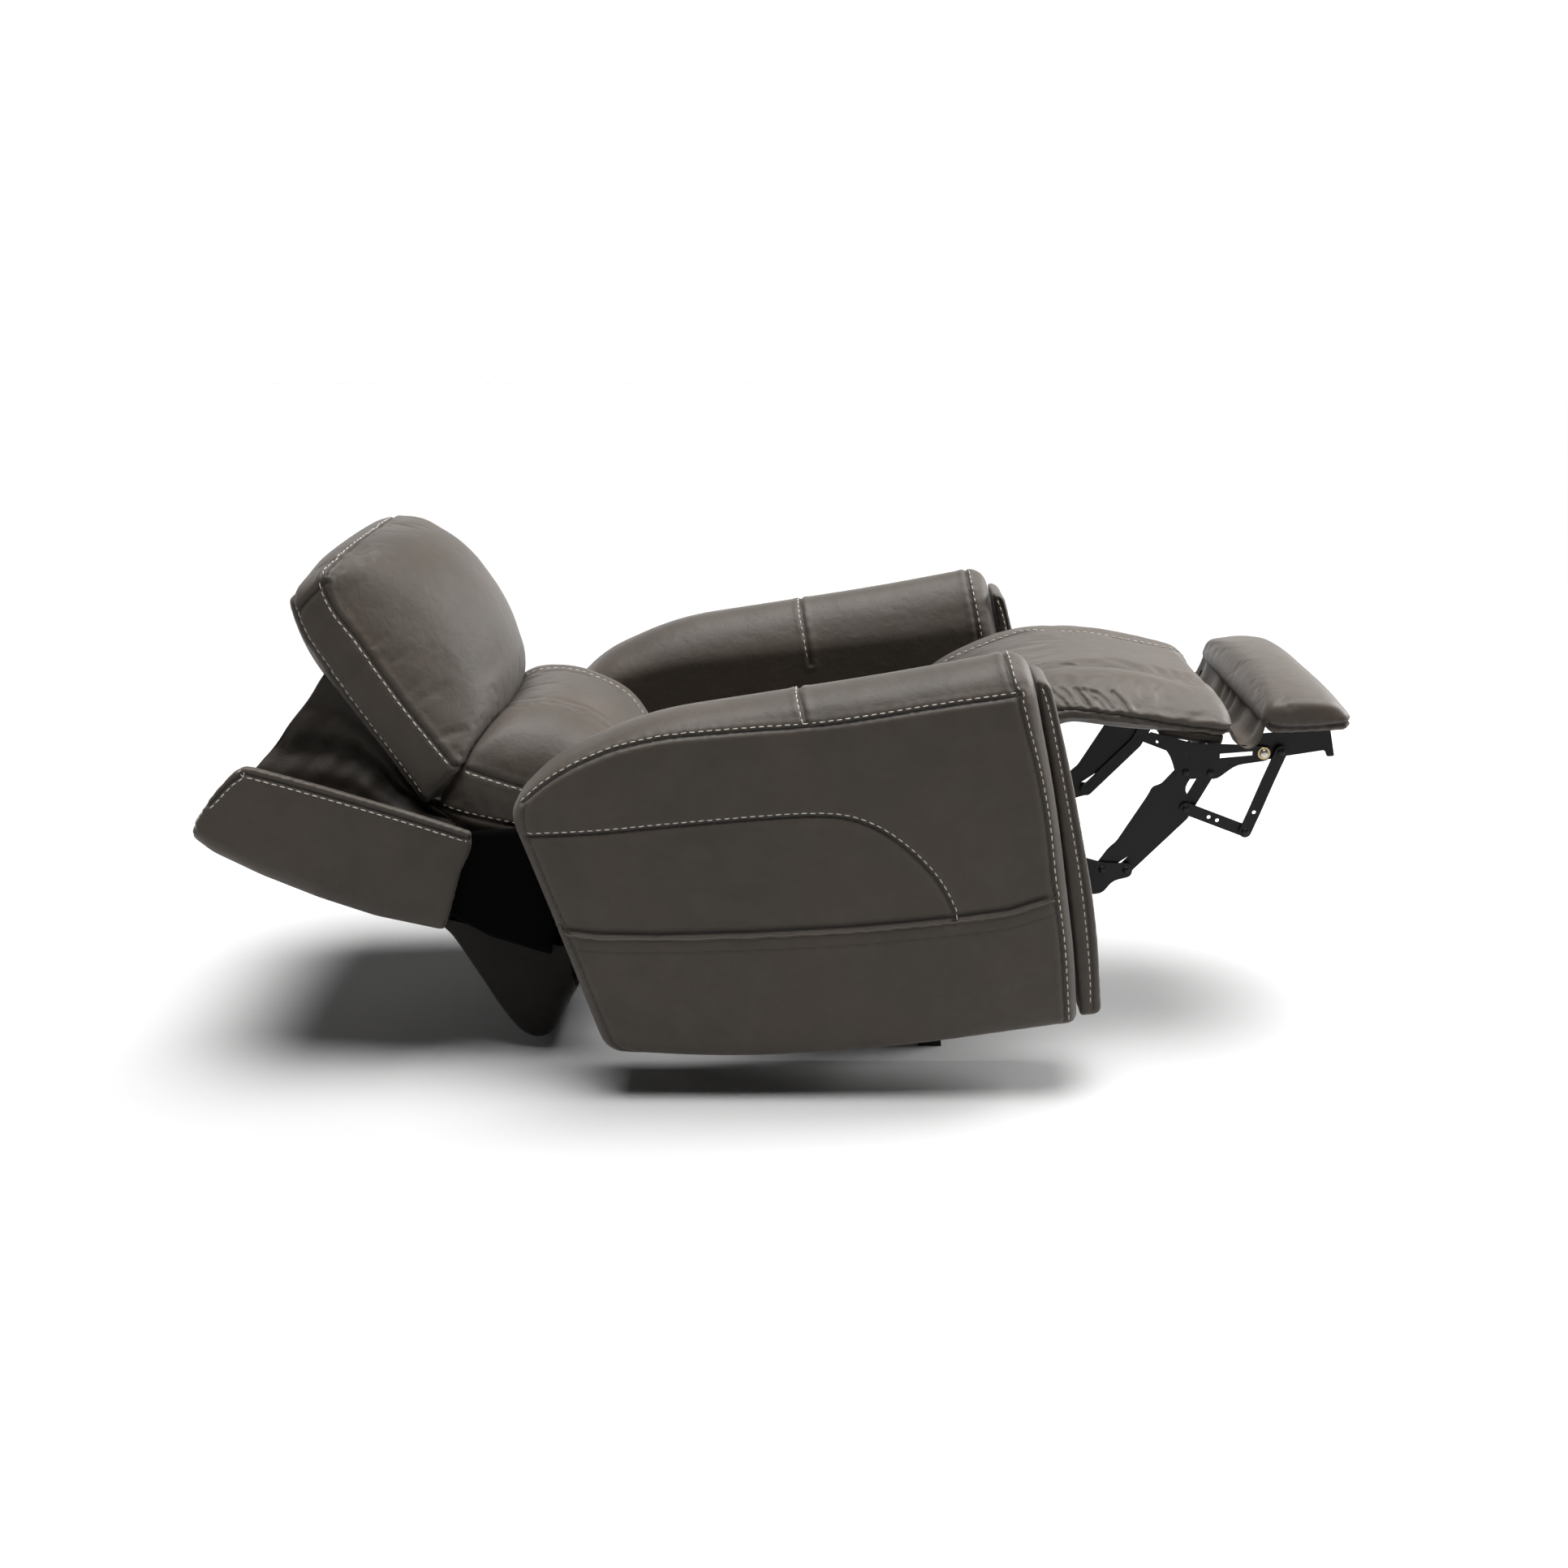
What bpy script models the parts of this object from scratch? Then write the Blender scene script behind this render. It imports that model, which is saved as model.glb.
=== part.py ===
"""Power rocker recliner armchair, fully reclined with its footrest and flipper out.

Metres, +Z up, +X towards the feet, +Y to the sitter's left. The chair stands on Z = 0.
Every moving body has an empty on its joint's axis, and its pieces are modelled in that empty's frame.
"""

from math import atan2, cos, hypot, pi, radians, sin

import bmesh
import bpy

# Widths across the chair, as half widths from its middle plane.
ARM_OUTER = 0.445
ARM_INNER = 0.280
SEAT_HALF = 0.270
WING_INNER = 0.288
WING_THICK = 0.024
GAP = 0.0004

# The angle each body stands at, in degrees about +Y from upright, and where its axis is (X, Z).
ROCK_AXIS = (0.108, 0.610)
CHASSIS_TILT = -7.0
RECLINE_AXIS = (-0.252, 0.375)
BACK_TILT = -75.0
HEADREST_AXIS = (-0.552, 0.430)
HEADREST_TILT = -30.3
HEADREST_LEVER_END = (-0.0545, -0.0250)
KNEE_AXIS = (0.438, 0.555)
FLIPPER_AXIS = (0.792, 0.523)

# Link pivots. The drive arm stays parallel to the line from the knee axis to the bracket pivot.
BRACKET_PIVOT = (0.667, 0.491)
ARM_PIVOT = (0.309, 0.388)
LINK_FOOT = (
    ARM_PIVOT[0] + BRACKET_PIVOT[0] - KNEE_AXIS[0],
    ARM_PIVOT[1] + BRACKET_PIVOT[1] - KNEE_AXIS[1],
)
SECOND_OFFSET = (0.040, -0.001)
PUSH_PIVOT = (0.671, 0.429)
FLIPPER_LINK_PIVOT = (0.819, 0.526)
PUSH_END = (0.769, 0.391)

# Steel links: flat plates in parallel planes, counted inwards from the first.
PLATE = 0.003
PLANE_STEP = 0.005
FIRST_PLANE = 0.240
PIN_R = 0.0045
ROD_TURN = 7.0
HOLE_R = 0.0050

# Rocker base.
CAM_R = 0.530
CAM_Y = 0.205
CAM_THICK = 0.020
RAIL_TOP = ROCK_AXIS[1] - CAM_R - 0.0015
RAIL_HEIGHT = 0.032
BASE_FRONT = 0.290
BASE_REAR = -0.190

COLOURS = {
    "leather": ((0.075, 0.066, 0.058, 1), 0.55, 0.0),
    "black_steel": ((0.012, 0.012, 0.013, 1), 0.42, 0.8),
    "zinc": ((0.55, 0.52, 0.44, 1), 0.35, 0.9),
    "wood": ((0.42, 0.29, 0.16, 1), 0.7, 0.0),
    "plastic": ((0.02, 0.02, 0.02, 1), 0.45, 0.0),
    "motor_grey": ((0.09, 0.09, 0.10, 1), 0.5, 0.1),
}


def clear_scene():
    for obj in list(bpy.data.objects):
        bpy.data.objects.remove(obj, do_unlink=True)


def new_collection(name):
    collection = bpy.data.collections.new(name)
    bpy.context.scene.collection.children.link(collection)
    return collection


def material(name):
    found = bpy.data.materials.get(name)
    if found:
        return found
    colour, roughness, metallic = COLOURS[name]
    made = bpy.data.materials.new(name)
    made.use_nodes = True
    shader = made.node_tree.nodes["Principled BSDF"]
    shader.inputs["Base Color"].default_value = colour
    shader.inputs["Roughness"].default_value = roughness
    shader.inputs["Metallic"].default_value = metallic
    made.diffuse_color = colour
    return made


def axis_empty(name, place, turn_deg):
    """An empty on a joint's axis, whose frame is turned about +Y like its body."""
    empty = bpy.data.objects.new(name, None)
    empty.location = (place[0], 0, place[1])
    empty.rotation_euler = (0, radians(turn_deg), 0)
    CHAIR.objects.link(empty)
    return empty


def chassis_empty(name, parent, place):
    """An empty in its parent's frame."""
    empty = bpy.data.objects.new(name, None)
    empty.parent = parent
    empty.location = place
    CHAIR.objects.link(empty)
    return empty


def arc(centre, radius, start_deg, end_deg, steps):
    return [
        (
            centre[0] + radius * cos(radians(start_deg + (end_deg - start_deg) * i / steps)),
            centre[1] + radius * sin(radians(start_deg + (end_deg - start_deg) * i / steps)),
        )
        for i in range(steps + 1)
    ]


def rounded(corners, steps=3):
    """An outline through (x, z, radius) corners, each replaced by an arc of that radius."""
    points = []
    count = len(corners)
    for i, (x, z, radius) in enumerate(corners):
        before, after = corners[i - 1], corners[(i + 1) % count]
        a = (before[0] - x, before[1] - z)
        b = (after[0] - x, after[1] - z)
        la, lb = hypot(*a), hypot(*b)
        a = (a[0] / la, a[1] / la)
        b = (b[0] / lb, b[1] / lb)
        reach = min(radius, 0.45 * la, 0.45 * lb)
        for k in range(steps + 1):
            t = k / steps
            points.append(
                (
                    x + reach * ((1 - t) ** 2 * a[0] + t**2 * b[0]),
                    z + reach * ((1 - t) ** 2 * a[1] + t**2 * b[1]),
                )
            )
    return points


def strap(path, half_width, steps=4):
    """The outline of a flat bar along a path, with round ends."""
    left, right = [], []
    for i, (x, z) in enumerate(path):
        x0, z0 = path[max(i - 1, 0)]
        x1, z1 = path[min(i + 1, len(path) - 1)]
        length = hypot(x1 - x0, z1 - z0)
        nx, nz = -(z1 - z0) / length, (x1 - x0) / length
        left.append((x + nx * half_width, z + nz * half_width))
        right.append((x - nx * half_width, z - nz * half_width))
    end_angle = atan2(path[-1][1] - path[-2][1], path[-1][0] - path[-2][0]) * 180 / pi
    start_angle = atan2(path[0][1] - path[1][1], path[0][0] - path[1][0]) * 180 / pi
    end_cap = arc(path[-1], half_width, end_angle + 90, end_angle - 90, 2 * steps)
    start_cap = arc(path[0], half_width, start_angle + 90, start_angle - 90, 2 * steps)
    return left[1:-1] + end_cap + right[-2:0:-1] + start_cap


def finish(obj, name, parent, colour, bevel=0.0, segments=2):
    """Names, places and shades a mesh object, with its edges rounded by a Bevel."""
    obj.name = name
    obj.data.name = name
    obj.parent = parent
    obj.data.materials.clear()
    obj.data.materials.append(material(colour))
    for collection in list(obj.users_collection):
        collection.objects.unlink(obj)
    CHAIR.objects.link(obj)
    if bevel:
        rounding = obj.modifiers.new("rounding", "BEVEL")
        rounding.width = bevel
        rounding.segments = segments
        rounding.limit_method = "ANGLE"
        rounding.angle_limit = radians(40)
    obj.data.shade_smooth()
    obj.data.set_sharp_from_angle(angle=radians(35))
    return obj


def mesh_object(name, mesh):
    obj = bpy.data.objects.new(name, mesh)
    bpy.context.scene.collection.objects.link(obj)
    return obj


def plate(outline, y, thickness, holes=(), windows=()):
    """A flat XZ outline given a thickness along Y, less round holes (x, z, radius) and other outlines."""
    curve = bpy.data.curves.new("outline", "CURVE")
    curve.dimensions = "2D"
    curve.fill_mode = "BOTH"
    curve.extrude = thickness / 2
    loops = [outline, *windows] + [arc(hole[:2], hole[2], 0, 330, 11) for hole in holes]
    for loop in loops:
        spline = curve.splines.new("POLY")
        spline.points.add(len(loop) - 1)
        for point, (x, z) in zip(spline.points, loop):
            point.co = (x, z, 0, 1)
        spline.use_cyclic_u = True
    guide = bpy.data.objects.new("outline", curve)
    bpy.context.scene.collection.objects.link(guide)
    bpy.context.view_layer.update()
    mesh = bpy.data.meshes.new_from_object(
        guide.evaluated_get(bpy.context.evaluated_depsgraph_get())
    )
    bpy.data.objects.remove(guide, do_unlink=True)
    shape = bmesh.new()
    shape.from_mesh(mesh)
    for vertex in shape.verts:
        x, z, offset = vertex.co
        vertex.co = (x, y - offset, z)
    bmesh.ops.remove_doubles(shape, verts=shape.verts, dist=1e-5)
    bmesh.ops.recalc_face_normals(shape, faces=shape.faces)
    shape.to_mesh(mesh)
    shape.free()
    return mesh_object("plate", mesh)


def block(low, high):
    """A box between two corners."""
    mesh = bpy.data.meshes.new("block")
    shape = bmesh.new()
    bmesh.ops.create_cube(shape, size=1)
    for vertex in shape.verts:
        vertex.co = [low[i] + (vertex.co[i] + 0.5) * (high[i] - low[i]) for i in range(3)]
    shape.to_mesh(mesh)
    shape.free()
    return mesh_object("block", mesh)


def rod(place, radius, low, high, sides=12):
    """A cylinder along Y through the point (x, z)."""
    mesh = bpy.data.meshes.new("rod")
    shape = bmesh.new()
    bmesh.ops.create_cone(
        shape, cap_ends=True, segments=sides, radius1=radius, radius2=radius, depth=high - low
    )
    turn = radians(ROD_TURN)
    for vertex in shape.verts:
        x, y, z = vertex.co
        x, y = x * cos(turn) - y * sin(turn), x * sin(turn) + y * cos(turn)
        vertex.co = (place[0] + x, (low + high) / 2 - z, place[1] + y)
    shape.to_mesh(mesh)
    shape.free()
    return mesh_object("rod", mesh)


def weld(mesh):
    """Joins points that a Boolean or a curve's caps leave at the same place."""
    shape = bmesh.new()
    shape.from_mesh(mesh)
    bmesh.ops.remove_doubles(shape, verts=shape.verts, dist=1e-5)
    bmesh.ops.dissolve_degenerate(shape, edges=shape.edges, dist=1e-6)
    bmesh.ops.recalc_face_normals(shape, faces=shape.faces)
    shape.to_mesh(mesh)
    shape.free()


def combine(obj, others, operation):
    """Applies a Boolean of each other object to this one, and removes the others."""
    for other in others:
        cut = obj.modifiers.new("combine", "BOOLEAN")
        cut.operation = operation
        cut.object = other
        cut.solver = "EXACT"
        bpy.context.view_layer.update()
        graph = bpy.context.evaluated_depsgraph_get()
        mesh = bpy.data.meshes.new_from_object(obj.evaluated_get(graph))
        obj.modifiers.clear()
        obj.data = mesh
        weld(mesh)
        bpy.data.objects.remove(other, do_unlink=True)
    return obj


def union(obj, *others):
    return combine(obj, others, "UNION")


def cut(obj, *others):
    return combine(obj, others, "DIFFERENCE")


def cushion(side, middle, half, centre=0.0, power=3, stations=(-1, -0.72, 0, 0.72, 1)):
    """A loft across Y from the side outline, through the fuller middle one, to the side again."""
    mesh = bpy.data.meshes.new("cushion")
    shape = bmesh.new()
    rings = []
    for station in stations:
        full = 1 - abs(station) ** power
        rings.append(
            [
                shape.verts.new((xs + (xm - xs) * full, centre + station * half, zs + (zm - zs) * full))
                for (xs, zs), (xm, zm) in zip(side, middle)
            ]
        )
    count = len(side)
    for ring, following in zip(rings, rings[1:]):
        for i in range(count):
            j = (i + 1) % count
            shape.faces.new((ring[i], ring[j], following[j], following[i]))
    shape.faces.new(rings[0])
    shape.faces.new(rings[-1][::-1])
    bmesh.ops.recalc_face_normals(shape, faces=shape.faces)
    shape.to_mesh(mesh)
    shape.free()
    return mesh_object("cushion", mesh)


def plane_y(side, step):
    """The middle of a link plane on one side of the chair, counted inwards from the first."""
    return side * (FIRST_PLANE - PLANE_STEP * step)


def pin(place, side, first, last):
    """A rivet through the link planes from first to last, both counted inwards."""
    ends = sorted(
        (
            side * (FIRST_PLANE - PLANE_STEP * first + 0.7 * PLATE),
            side * (FIRST_PLANE - PLANE_STEP * last - 0.7 * PLATE),
        )
    )
    return rod(place, PIN_R, ends[0], ends[1])


def relative(point, origin):
    return (point[0] - origin[0], point[1] - origin[1])


def sides():
    return (("L", 1), ("R", -1))


def build_base(root):
    """Two rails on feet, joined by two crossbars: what stands on the floor."""
    for letter, side in sides():
        y = side * CAM_Y
        rail = block(
            (BASE_REAR, y - 0.0125, RAIL_TOP - RAIL_HEIGHT), (BASE_FRONT, y + 0.0125, RAIL_TOP)
        )
        feet = [
            plate([(x - 0.02, 0), (x + 0.02, 0), (x + 0.015, 0.05), (x - 0.015, 0.05)], y, 0.036)
            for x in (BASE_REAR + 0.03, BASE_FRONT - 0.03)
        ]
        finish(union(rail, *feet), "base_rail_" + letter, root, "black_steel")
    bar_half = CAM_Y - 0.0125 - GAP
    crossbars = (("base_crossbar_front", BASE_FRONT - 0.075), ("base_crossbar_rear", BASE_REAR + 0.060))
    for name, x in crossbars:
        bar = block((x, -bar_half, RAIL_TOP - RAIL_HEIGHT), (x + 0.025, bar_half, RAIL_TOP - 0.006))
        finish(bar, name, root, "black_steel")


def arm_outlines():
    """The arm's side outline at its faces and at its crown, as the upright chair's heights."""
    low = [
        (-0.440, 0.131, 0.030),
        (-0.484, 0.345, 0.080),
        (-0.530, 0.548, 0.030),
    ]
    front = [
        (0.310, 0.460, 0.080),
        (0.3165, 0.200, 0.080),
        (0.311, 0.090, 0.012),
        (0.030, 0.081, 0.100),
        (-0.230, 0.094, 0.100),
    ]
    face_top = [
        (-0.440, 0.610, 0.090),
        (-0.310, 0.640, 0.090),
        (0.100, 0.636, 0.100),
        (0.292, 0.642, 0.030),
    ]
    crown_top = [
        (-0.452, 0.612, 0.090),
        (-0.300, 0.662, 0.090),
        (0.090, 0.676, 0.100),
        (0.290, 0.690, 0.040),
    ]
    return rounded(low + face_top + front), rounded(low + crown_top + front)


def build_arms(chassis):
    """Each arm is a padded cover over a core, with a facing on its front."""
    face, crown = arm_outlines()
    middle = (ARM_OUTER + ARM_INNER) / 2
    half = (ARM_OUTER - ARM_INNER) / 2
    core_rear, core_front, core_half = -0.395, 0.245, 0.052
    core_bottom, core_top = 0.100, 0.550
    facing = rounded(
        [
            (0.296, 0.652, 0.010),
            (0.318, 0.640, 0.030),
            (0.337, 0.500, 0.100),
            (0.357, 0.260, 0.150),
            (0.352, 0.094, 0.012),
            (0.3175, 0.092, 0.004),
            (0.3175, 0.300, 0.050),
            (0.3115, 0.460, 0.050),
            (0.3000, 0.600, 0.010),
        ]
    )
    for letter, side in sides():
        centre = side * middle
        cover = cushion(face, crown, half, centre, 2.2, (-1, -0.7, -0.3, 0.3, 0.7, 1))
        hollow = block((core_rear, centre - core_half, 0), (core_front, centre + core_half, core_top))
        finish(cut(cover, hollow), "arm_cover_" + letter, chassis, "leather")
        core = block(
            (core_rear + GAP, centre - core_half + GAP, core_bottom),
            (core_front - GAP, centre + core_half - GAP, core_top - GAP),
        )
        finish(core, "arm_core_" + letter, chassis, "wood")
        finish(plate(facing, side * 0.358, 0.116), "arm_facing_" + letter, chassis, "leather")


def box_outline(rear, front, bottom, rear_top, front_top):
    """Four corners of radius 20 mm, as a cushion's section."""
    return rounded(
        [(rear, bottom, 0.02), (rear, rear_top, 0.02), (front, front_top, 0.02), (front, bottom, 0.02)]
    )


def build_seat(chassis):
    """The seat cushion, the chaise pad's rear part, the two wooden rails and the springs between them."""
    side = box_outline(-0.225, 0.290, 0.395, 0.480, 0.488)
    middle = box_outline(-0.230, 0.295, 0.392, 0.492, 0.499)
    finish(cushion(side, middle, SEAT_HALF), "seat_cushion", chassis, "leather")
    side = rounded(
        [
            (0.115, 0.502, 0.004), (0.180, 0.522, 0.020), (0.327, 0.560, 0.004),
            (0.327, 0.524, 0.004), (0.300, 0.502, 0.010),
        ]
    )
    middle = rounded(
        [
            (0.105, 0.502, 0.004), (0.180, 0.567, 0.030), (0.327, 0.606, 0.004),
            (0.327, 0.520, 0.004), (0.300, 0.502, 0.010),
        ]
    )
    finish(cushion(side, middle, SEAT_HALF), "chaise_pad_rear", chassis, "leather")
    for name, low, high in (
        ("front_rail", (0.225, -0.222, 0.335), (0.255, 0.222, 0.381)),
        ("rear_rail", (-0.265, -0.222, 0.335), (-0.235, 0.222, 0.381)),
    ):
        finish(block(low, high), name, chassis, "wood", 0.002)
    finish(spring_mat(), "seat_spring_mat", chassis, "zinc")


def spring_mat():
    """A serpentine wire under the seat, between the front and rear rails."""
    curve = bpy.data.curves.new("mat", "CURVE")
    curve.dimensions = "3D"
    curve.bevel_depth = 0.002
    curve.bevel_resolution = 1
    curve.use_fill_caps = True
    runs, reach, height = 8, 0.190, 0.3835
    points = []
    for i in range(runs):
        y = -reach + 2 * reach * i / (runs - 1)
        ends = (-0.25, 0.24) if i % 2 == 0 else (0.24, -0.25)
        points += [(ends[0], y, height), (ends[1], y, height)]
    spline = curve.splines.new("POLY")
    spline.points.add(len(points) - 1)
    for point, place in zip(spline.points, points):
        point.co = (*place, 1)
    guide = mesh_object("mat", curve)
    bpy.context.view_layer.update()
    mesh = bpy.data.meshes.new_from_object(guide.evaluated_get(bpy.context.evaluated_depsgraph_get()))
    bpy.data.objects.remove(guide, do_unlink=True)
    weld(mesh)
    return mesh_object("mat", mesh)


def chassis_point(world):
    """A world (X, Z) in the chassis frame, whose heights are the upright chair's."""
    turn = radians(CHASSIS_TILT)
    x, z = relative(world, ROCK_AXIS)
    return (x * cos(turn) - z * sin(turn), x * sin(turn) + z * cos(turn) + ROCK_AXIS[1])


def build_mechanism(chassis):
    """Rocker cams, side plates, hinge plates, the cross tube and the two motors on their rails."""
    arm_pivot = chassis_point(ARM_PIVOT)
    recline = chassis_point(RECLINE_AXIS)
    cam_arc = arc((0, ROCK_AXIS[1]), CAM_R, -108, -72, 12)
    cam = cam_arc + [(0.150, 0.200), (0.120, 0.310), (-0.120, 0.310), (-0.150, 0.200)]
    window = rounded(
        [(-0.085, 0.150, 0.02), (0.085, 0.150, 0.02), (0.070, 0.225, 0.02), (-0.070, 0.225, 0.02)]
    )
    side_plate = rounded(
        [
            (-0.170, 0.300, 0.010),
            (0.150, 0.300, 0.020),
            (arm_pivot[0] + 0.018, arm_pivot[1] - 0.018, 0.015),
            (arm_pivot[0] + 0.014, 0.384, 0.012),
            (-0.170, 0.384, 0.010),
        ]
    )
    hinge_plate = rounded(
        [
            (recline[0] - 0.020, recline[1] - 0.020, 0.018),
            (recline[0] + 0.150, recline[1] - 0.060, 0.010),
            (recline[0] + 0.150, recline[1] - 0.010, 0.010),
            (recline[0] - 0.005, recline[1] + 0.024, 0.018),
        ]
    )
    for letter, side in sides():
        shape = cut(plate(cam, side * CAM_Y, CAM_THICK), plate(window, side * CAM_Y, 2 * CAM_THICK))
        finish(shape, "rocker_cam_" + letter, chassis, "black_steel")
        shape = plate(side_plate, plane_y(side, -1), PLATE, [(*arm_pivot, HOLE_R)])
        finish(shape, "mechanism_plate_" + letter, chassis, "black_steel")
        shape = plate(hinge_plate, side * 0.2780, PLATE, [(*recline, HOLE_R)])
        finish(shape, "recline_hinge_plate_" + letter, chassis, "black_steel")
    tube_end = CAM_Y - CAM_THICK / 2 - GAP
    tube = rod((-0.100, 0.255), 0.012, -tube_end, tube_end)
    finish(tube, "chassis_cross_tube", chassis, "black_steel")
    for name, y, low, high, motor_low, height in (
        ("footrest", 0.070, 0.032, 0.215, -0.060, 0.262),
        ("recline", -0.070, -0.448, -0.062, -0.060, 0.272),
    ):
        rail = block((low, y - 0.014, height), (high, y + 0.014, height + 0.016))
        finish(rail, name + "_motor_rail", chassis, "motor_grey", 0.002)
        housing = block(
            (motor_low, y - 0.032, height - 0.010), (motor_low + 0.090, y + 0.032, height + 0.052)
        )
        finish(housing, name + "_motor", chassis, "plastic", 0.008)


def build_controls(chassis):
    """The control panel on the inner side of the sitter's right arm, with its buttons."""
    face = -ARM_INNER + GAP
    panel = block((-0.040, face, 0.560), (0.070, face + 0.008, 0.600))
    centres = [(-0.018 + 0.028 * i, 0.580) for i in range(3)]
    holes = [
        block((x - 0.0095, face - 0.01, z - 0.0125), (x + 0.0095, face + 0.02, z + 0.0125))
        for x, z in centres
    ]
    finish(cut(panel, *holes), "control_panel", chassis, "plastic")
    for (x, z), name in zip(centres, ("button_recline", "button_headrest", "button_home")):
        travel = chassis_empty(name + "_travel", chassis, (x, face, z))
        cap = block((-0.009, 0.003, -0.012), (0.009, 0.0105, 0.012))
        finish(cap, name, travel, "motor_grey", 0.001)
    inlet = block((-0.2995, 0.140, 0.335), (-0.2655, 0.175, 0.365))
    socket = block((-0.310, 0.1475, 0.3425), (-0.285, 0.1675, 0.3575))
    finish(cut(inlet, socket), "power_inlet", chassis, "plastic")


def build_back(back):
    """The back frame, the lumbar cushion and the outer shell, x forward of the back and z up along it."""
    hinge_bar = strap([(0, 0), (-0.070, 0.055), (-0.140, 0.120), (-0.145, 0.200)], 0.013)
    head = to_frame(HEADREST_AXIS, RECLINE_AXIS, BACK_TILT)
    for letter, side in sides():
        upright = block((-0.165, side * 0.255 - 0.0135, 0.020), (-0.127, side * 0.255 + 0.0135, 0.540))
        bar = plate(hinge_bar, side * 0.2735, PLATE)
        axle = rod((0, 0), PIN_R, *sorted((side * 0.2722, side * 0.2797)))
        lug = block((-0.160, side * 0.265, 0.120), (-0.135, side * 0.2738, 0.190))
        head_bar = plate(strap([(head[0], head[1]), (-0.150, 0.320)], 0.012), side * 0.2430, PLATE)
        head_pin = rod(head, PIN_R, *sorted((side * 0.2310, side * 0.2440)))
        shape = union(upright, bar, axle, lug, head_bar, head_pin)
        finish(shape, "back_upright_" + letter, back, "black_steel")
    lever = plate(strap([(-0.146, 0.050), (-0.100, -0.035), (-0.062, -0.072)], 0.010), -0.070, 0.006)
    rail = union(block((-0.165, -0.2410, 0.030), (-0.127, 0.2410, 0.065)), lever)
    finish(rail, "back_lower_rail", back, "black_steel")
    side = rounded(
        [
            (-0.010, 0.005, 0.01), (0.040, -0.005, 0.02), (0.085, 0.060, 0.03),
            (0.075, 0.180, 0.03), (0.052, 0.258, 0.02), (0.000, 0.268, 0.02),
            (-0.030, 0.266, 0.02), (-0.062, 0.225, 0.03), (-0.050, 0.100, 0.03),
        ]
    )
    middle = rounded(
        [
            (-0.010, 0.000, 0.01), (0.090, -0.012, 0.03), (0.165, 0.055, 0.04),
            (0.180, 0.165, 0.05), (0.155, 0.232, 0.03), (0.050, 0.262, 0.03),
            (-0.020, 0.270, 0.02), (-0.066, 0.225, 0.03), (-0.050, 0.100, 0.03),
        ]
    )
    finish(cushion(side, middle, 0.2690), "lumbar_cushion", back, "leather")
    wing = rounded(
        [
            (-0.016, 0.610, 0.03), (-0.019, 0.430, 0.10), (-0.030, 0.238, 0.015),
            (-0.105, 0.241, 0.05), (-0.203, 0.246, 0.03), (-0.204, 0.400, 0.10),
            (-0.178, 0.580, 0.08), (-0.146, 0.672, 0.03), (-0.080, 0.652, 0.03),
        ]
    )
    for letter, side_sign in sides():
        shape = plate(wing, side_sign * (WING_INNER + WING_THICK / 2), WING_THICK)
        finish(shape, "back_wing_" + letter, back, "leather", 0.006)
    panel_half = WING_INNER - GAP
    flat = [(-0.203, 0.246), (-0.204, 0.400), (-0.180, 0.560), (-0.150, 0.655)]
    side = strap(flat, 0.009, 2)
    middle = strap([(x - 0.008, z + 0.008) for x, z in flat], 0.009, 2)
    finish(cushion(side, middle, panel_half, power=2), "outer_back_panel", back, "leather")
    motor = block((-0.125, -0.030, 0.015), (-0.075, 0.030, 0.100))
    finish(motor, "headrest_motor", back, "plastic", 0.006)


def to_frame(point, origin, turn_deg):
    """A world (X, Z) in the frame at origin, turned about +Y."""
    turn = radians(turn_deg)
    x, z = relative(point, origin)
    return (x * cos(turn) - z * sin(turn), x * sin(turn) + z * cos(turn))


def from_frame(point, origin, turn_deg):
    """A point of the frame at origin, turned about +Y, as a world (X, Z)."""
    x, z = to_frame(point, (0, 0), -turn_deg)
    return (origin[0] + x, origin[1] + z)


def build_headrest(headrest):
    """The headrest board with its lever and ears, and the cushion on it."""
    board = block((-0.034, -0.2200, 0.040), (-0.022, 0.2200, 0.175))
    ear = strap([(0, 0), (-0.024, 0.030), (-0.030, 0.110)], 0.010)
    ears = [plate(ear, side * 0.2330, PLATE, [(0, 0, HOLE_R)]) for _, side in sides()]
    tabs = [
        block((-0.0335, side * 0.2243 - 0.0093, 0.065), (-0.0225, side * 0.2243 + 0.0093, 0.105))
        for _, side in sides()
    ]
    lever = plate(strap([(-0.028, 0.060), (-0.045, 0.015), HEADREST_LEVER_END], 0.007), 0.0, 0.005)
    finish(union(board, *tabs, *ears, lever), "headrest_board", headrest, "wood")
    side = rounded(
        [
            (0.006, 0.022, 0.01), (0.040, 0.022, 0.01), (0.066, 0.050, 0.01), (0.060, 0.180, 0.05),
            (0.056, 0.300, 0.05), (0.068, 0.425, 0.02), (0.000, 0.425, 0.02), (-0.030, 0.340, 0.03),
            (-0.020, 0.262, 0.01), (-0.012, 0.150, 0.02),
        ]
    )
    middle = rounded(
        [
            (0.006, 0.020, 0.01), (0.070, 0.030, 0.02), (0.190, 0.085, 0.05), (0.228, 0.200, 0.06),
            (0.214, 0.340, 0.08), (0.140, 0.432, 0.04), (0.000, 0.432, 0.03), (-0.060, 0.370, 0.03),
            (-0.060, 0.262, 0.01), (-0.014, 0.180, 0.02),
        ]
    )
    finish(cushion(side, middle, 0.280), "headrest_cushion", headrest, "leather")


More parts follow.
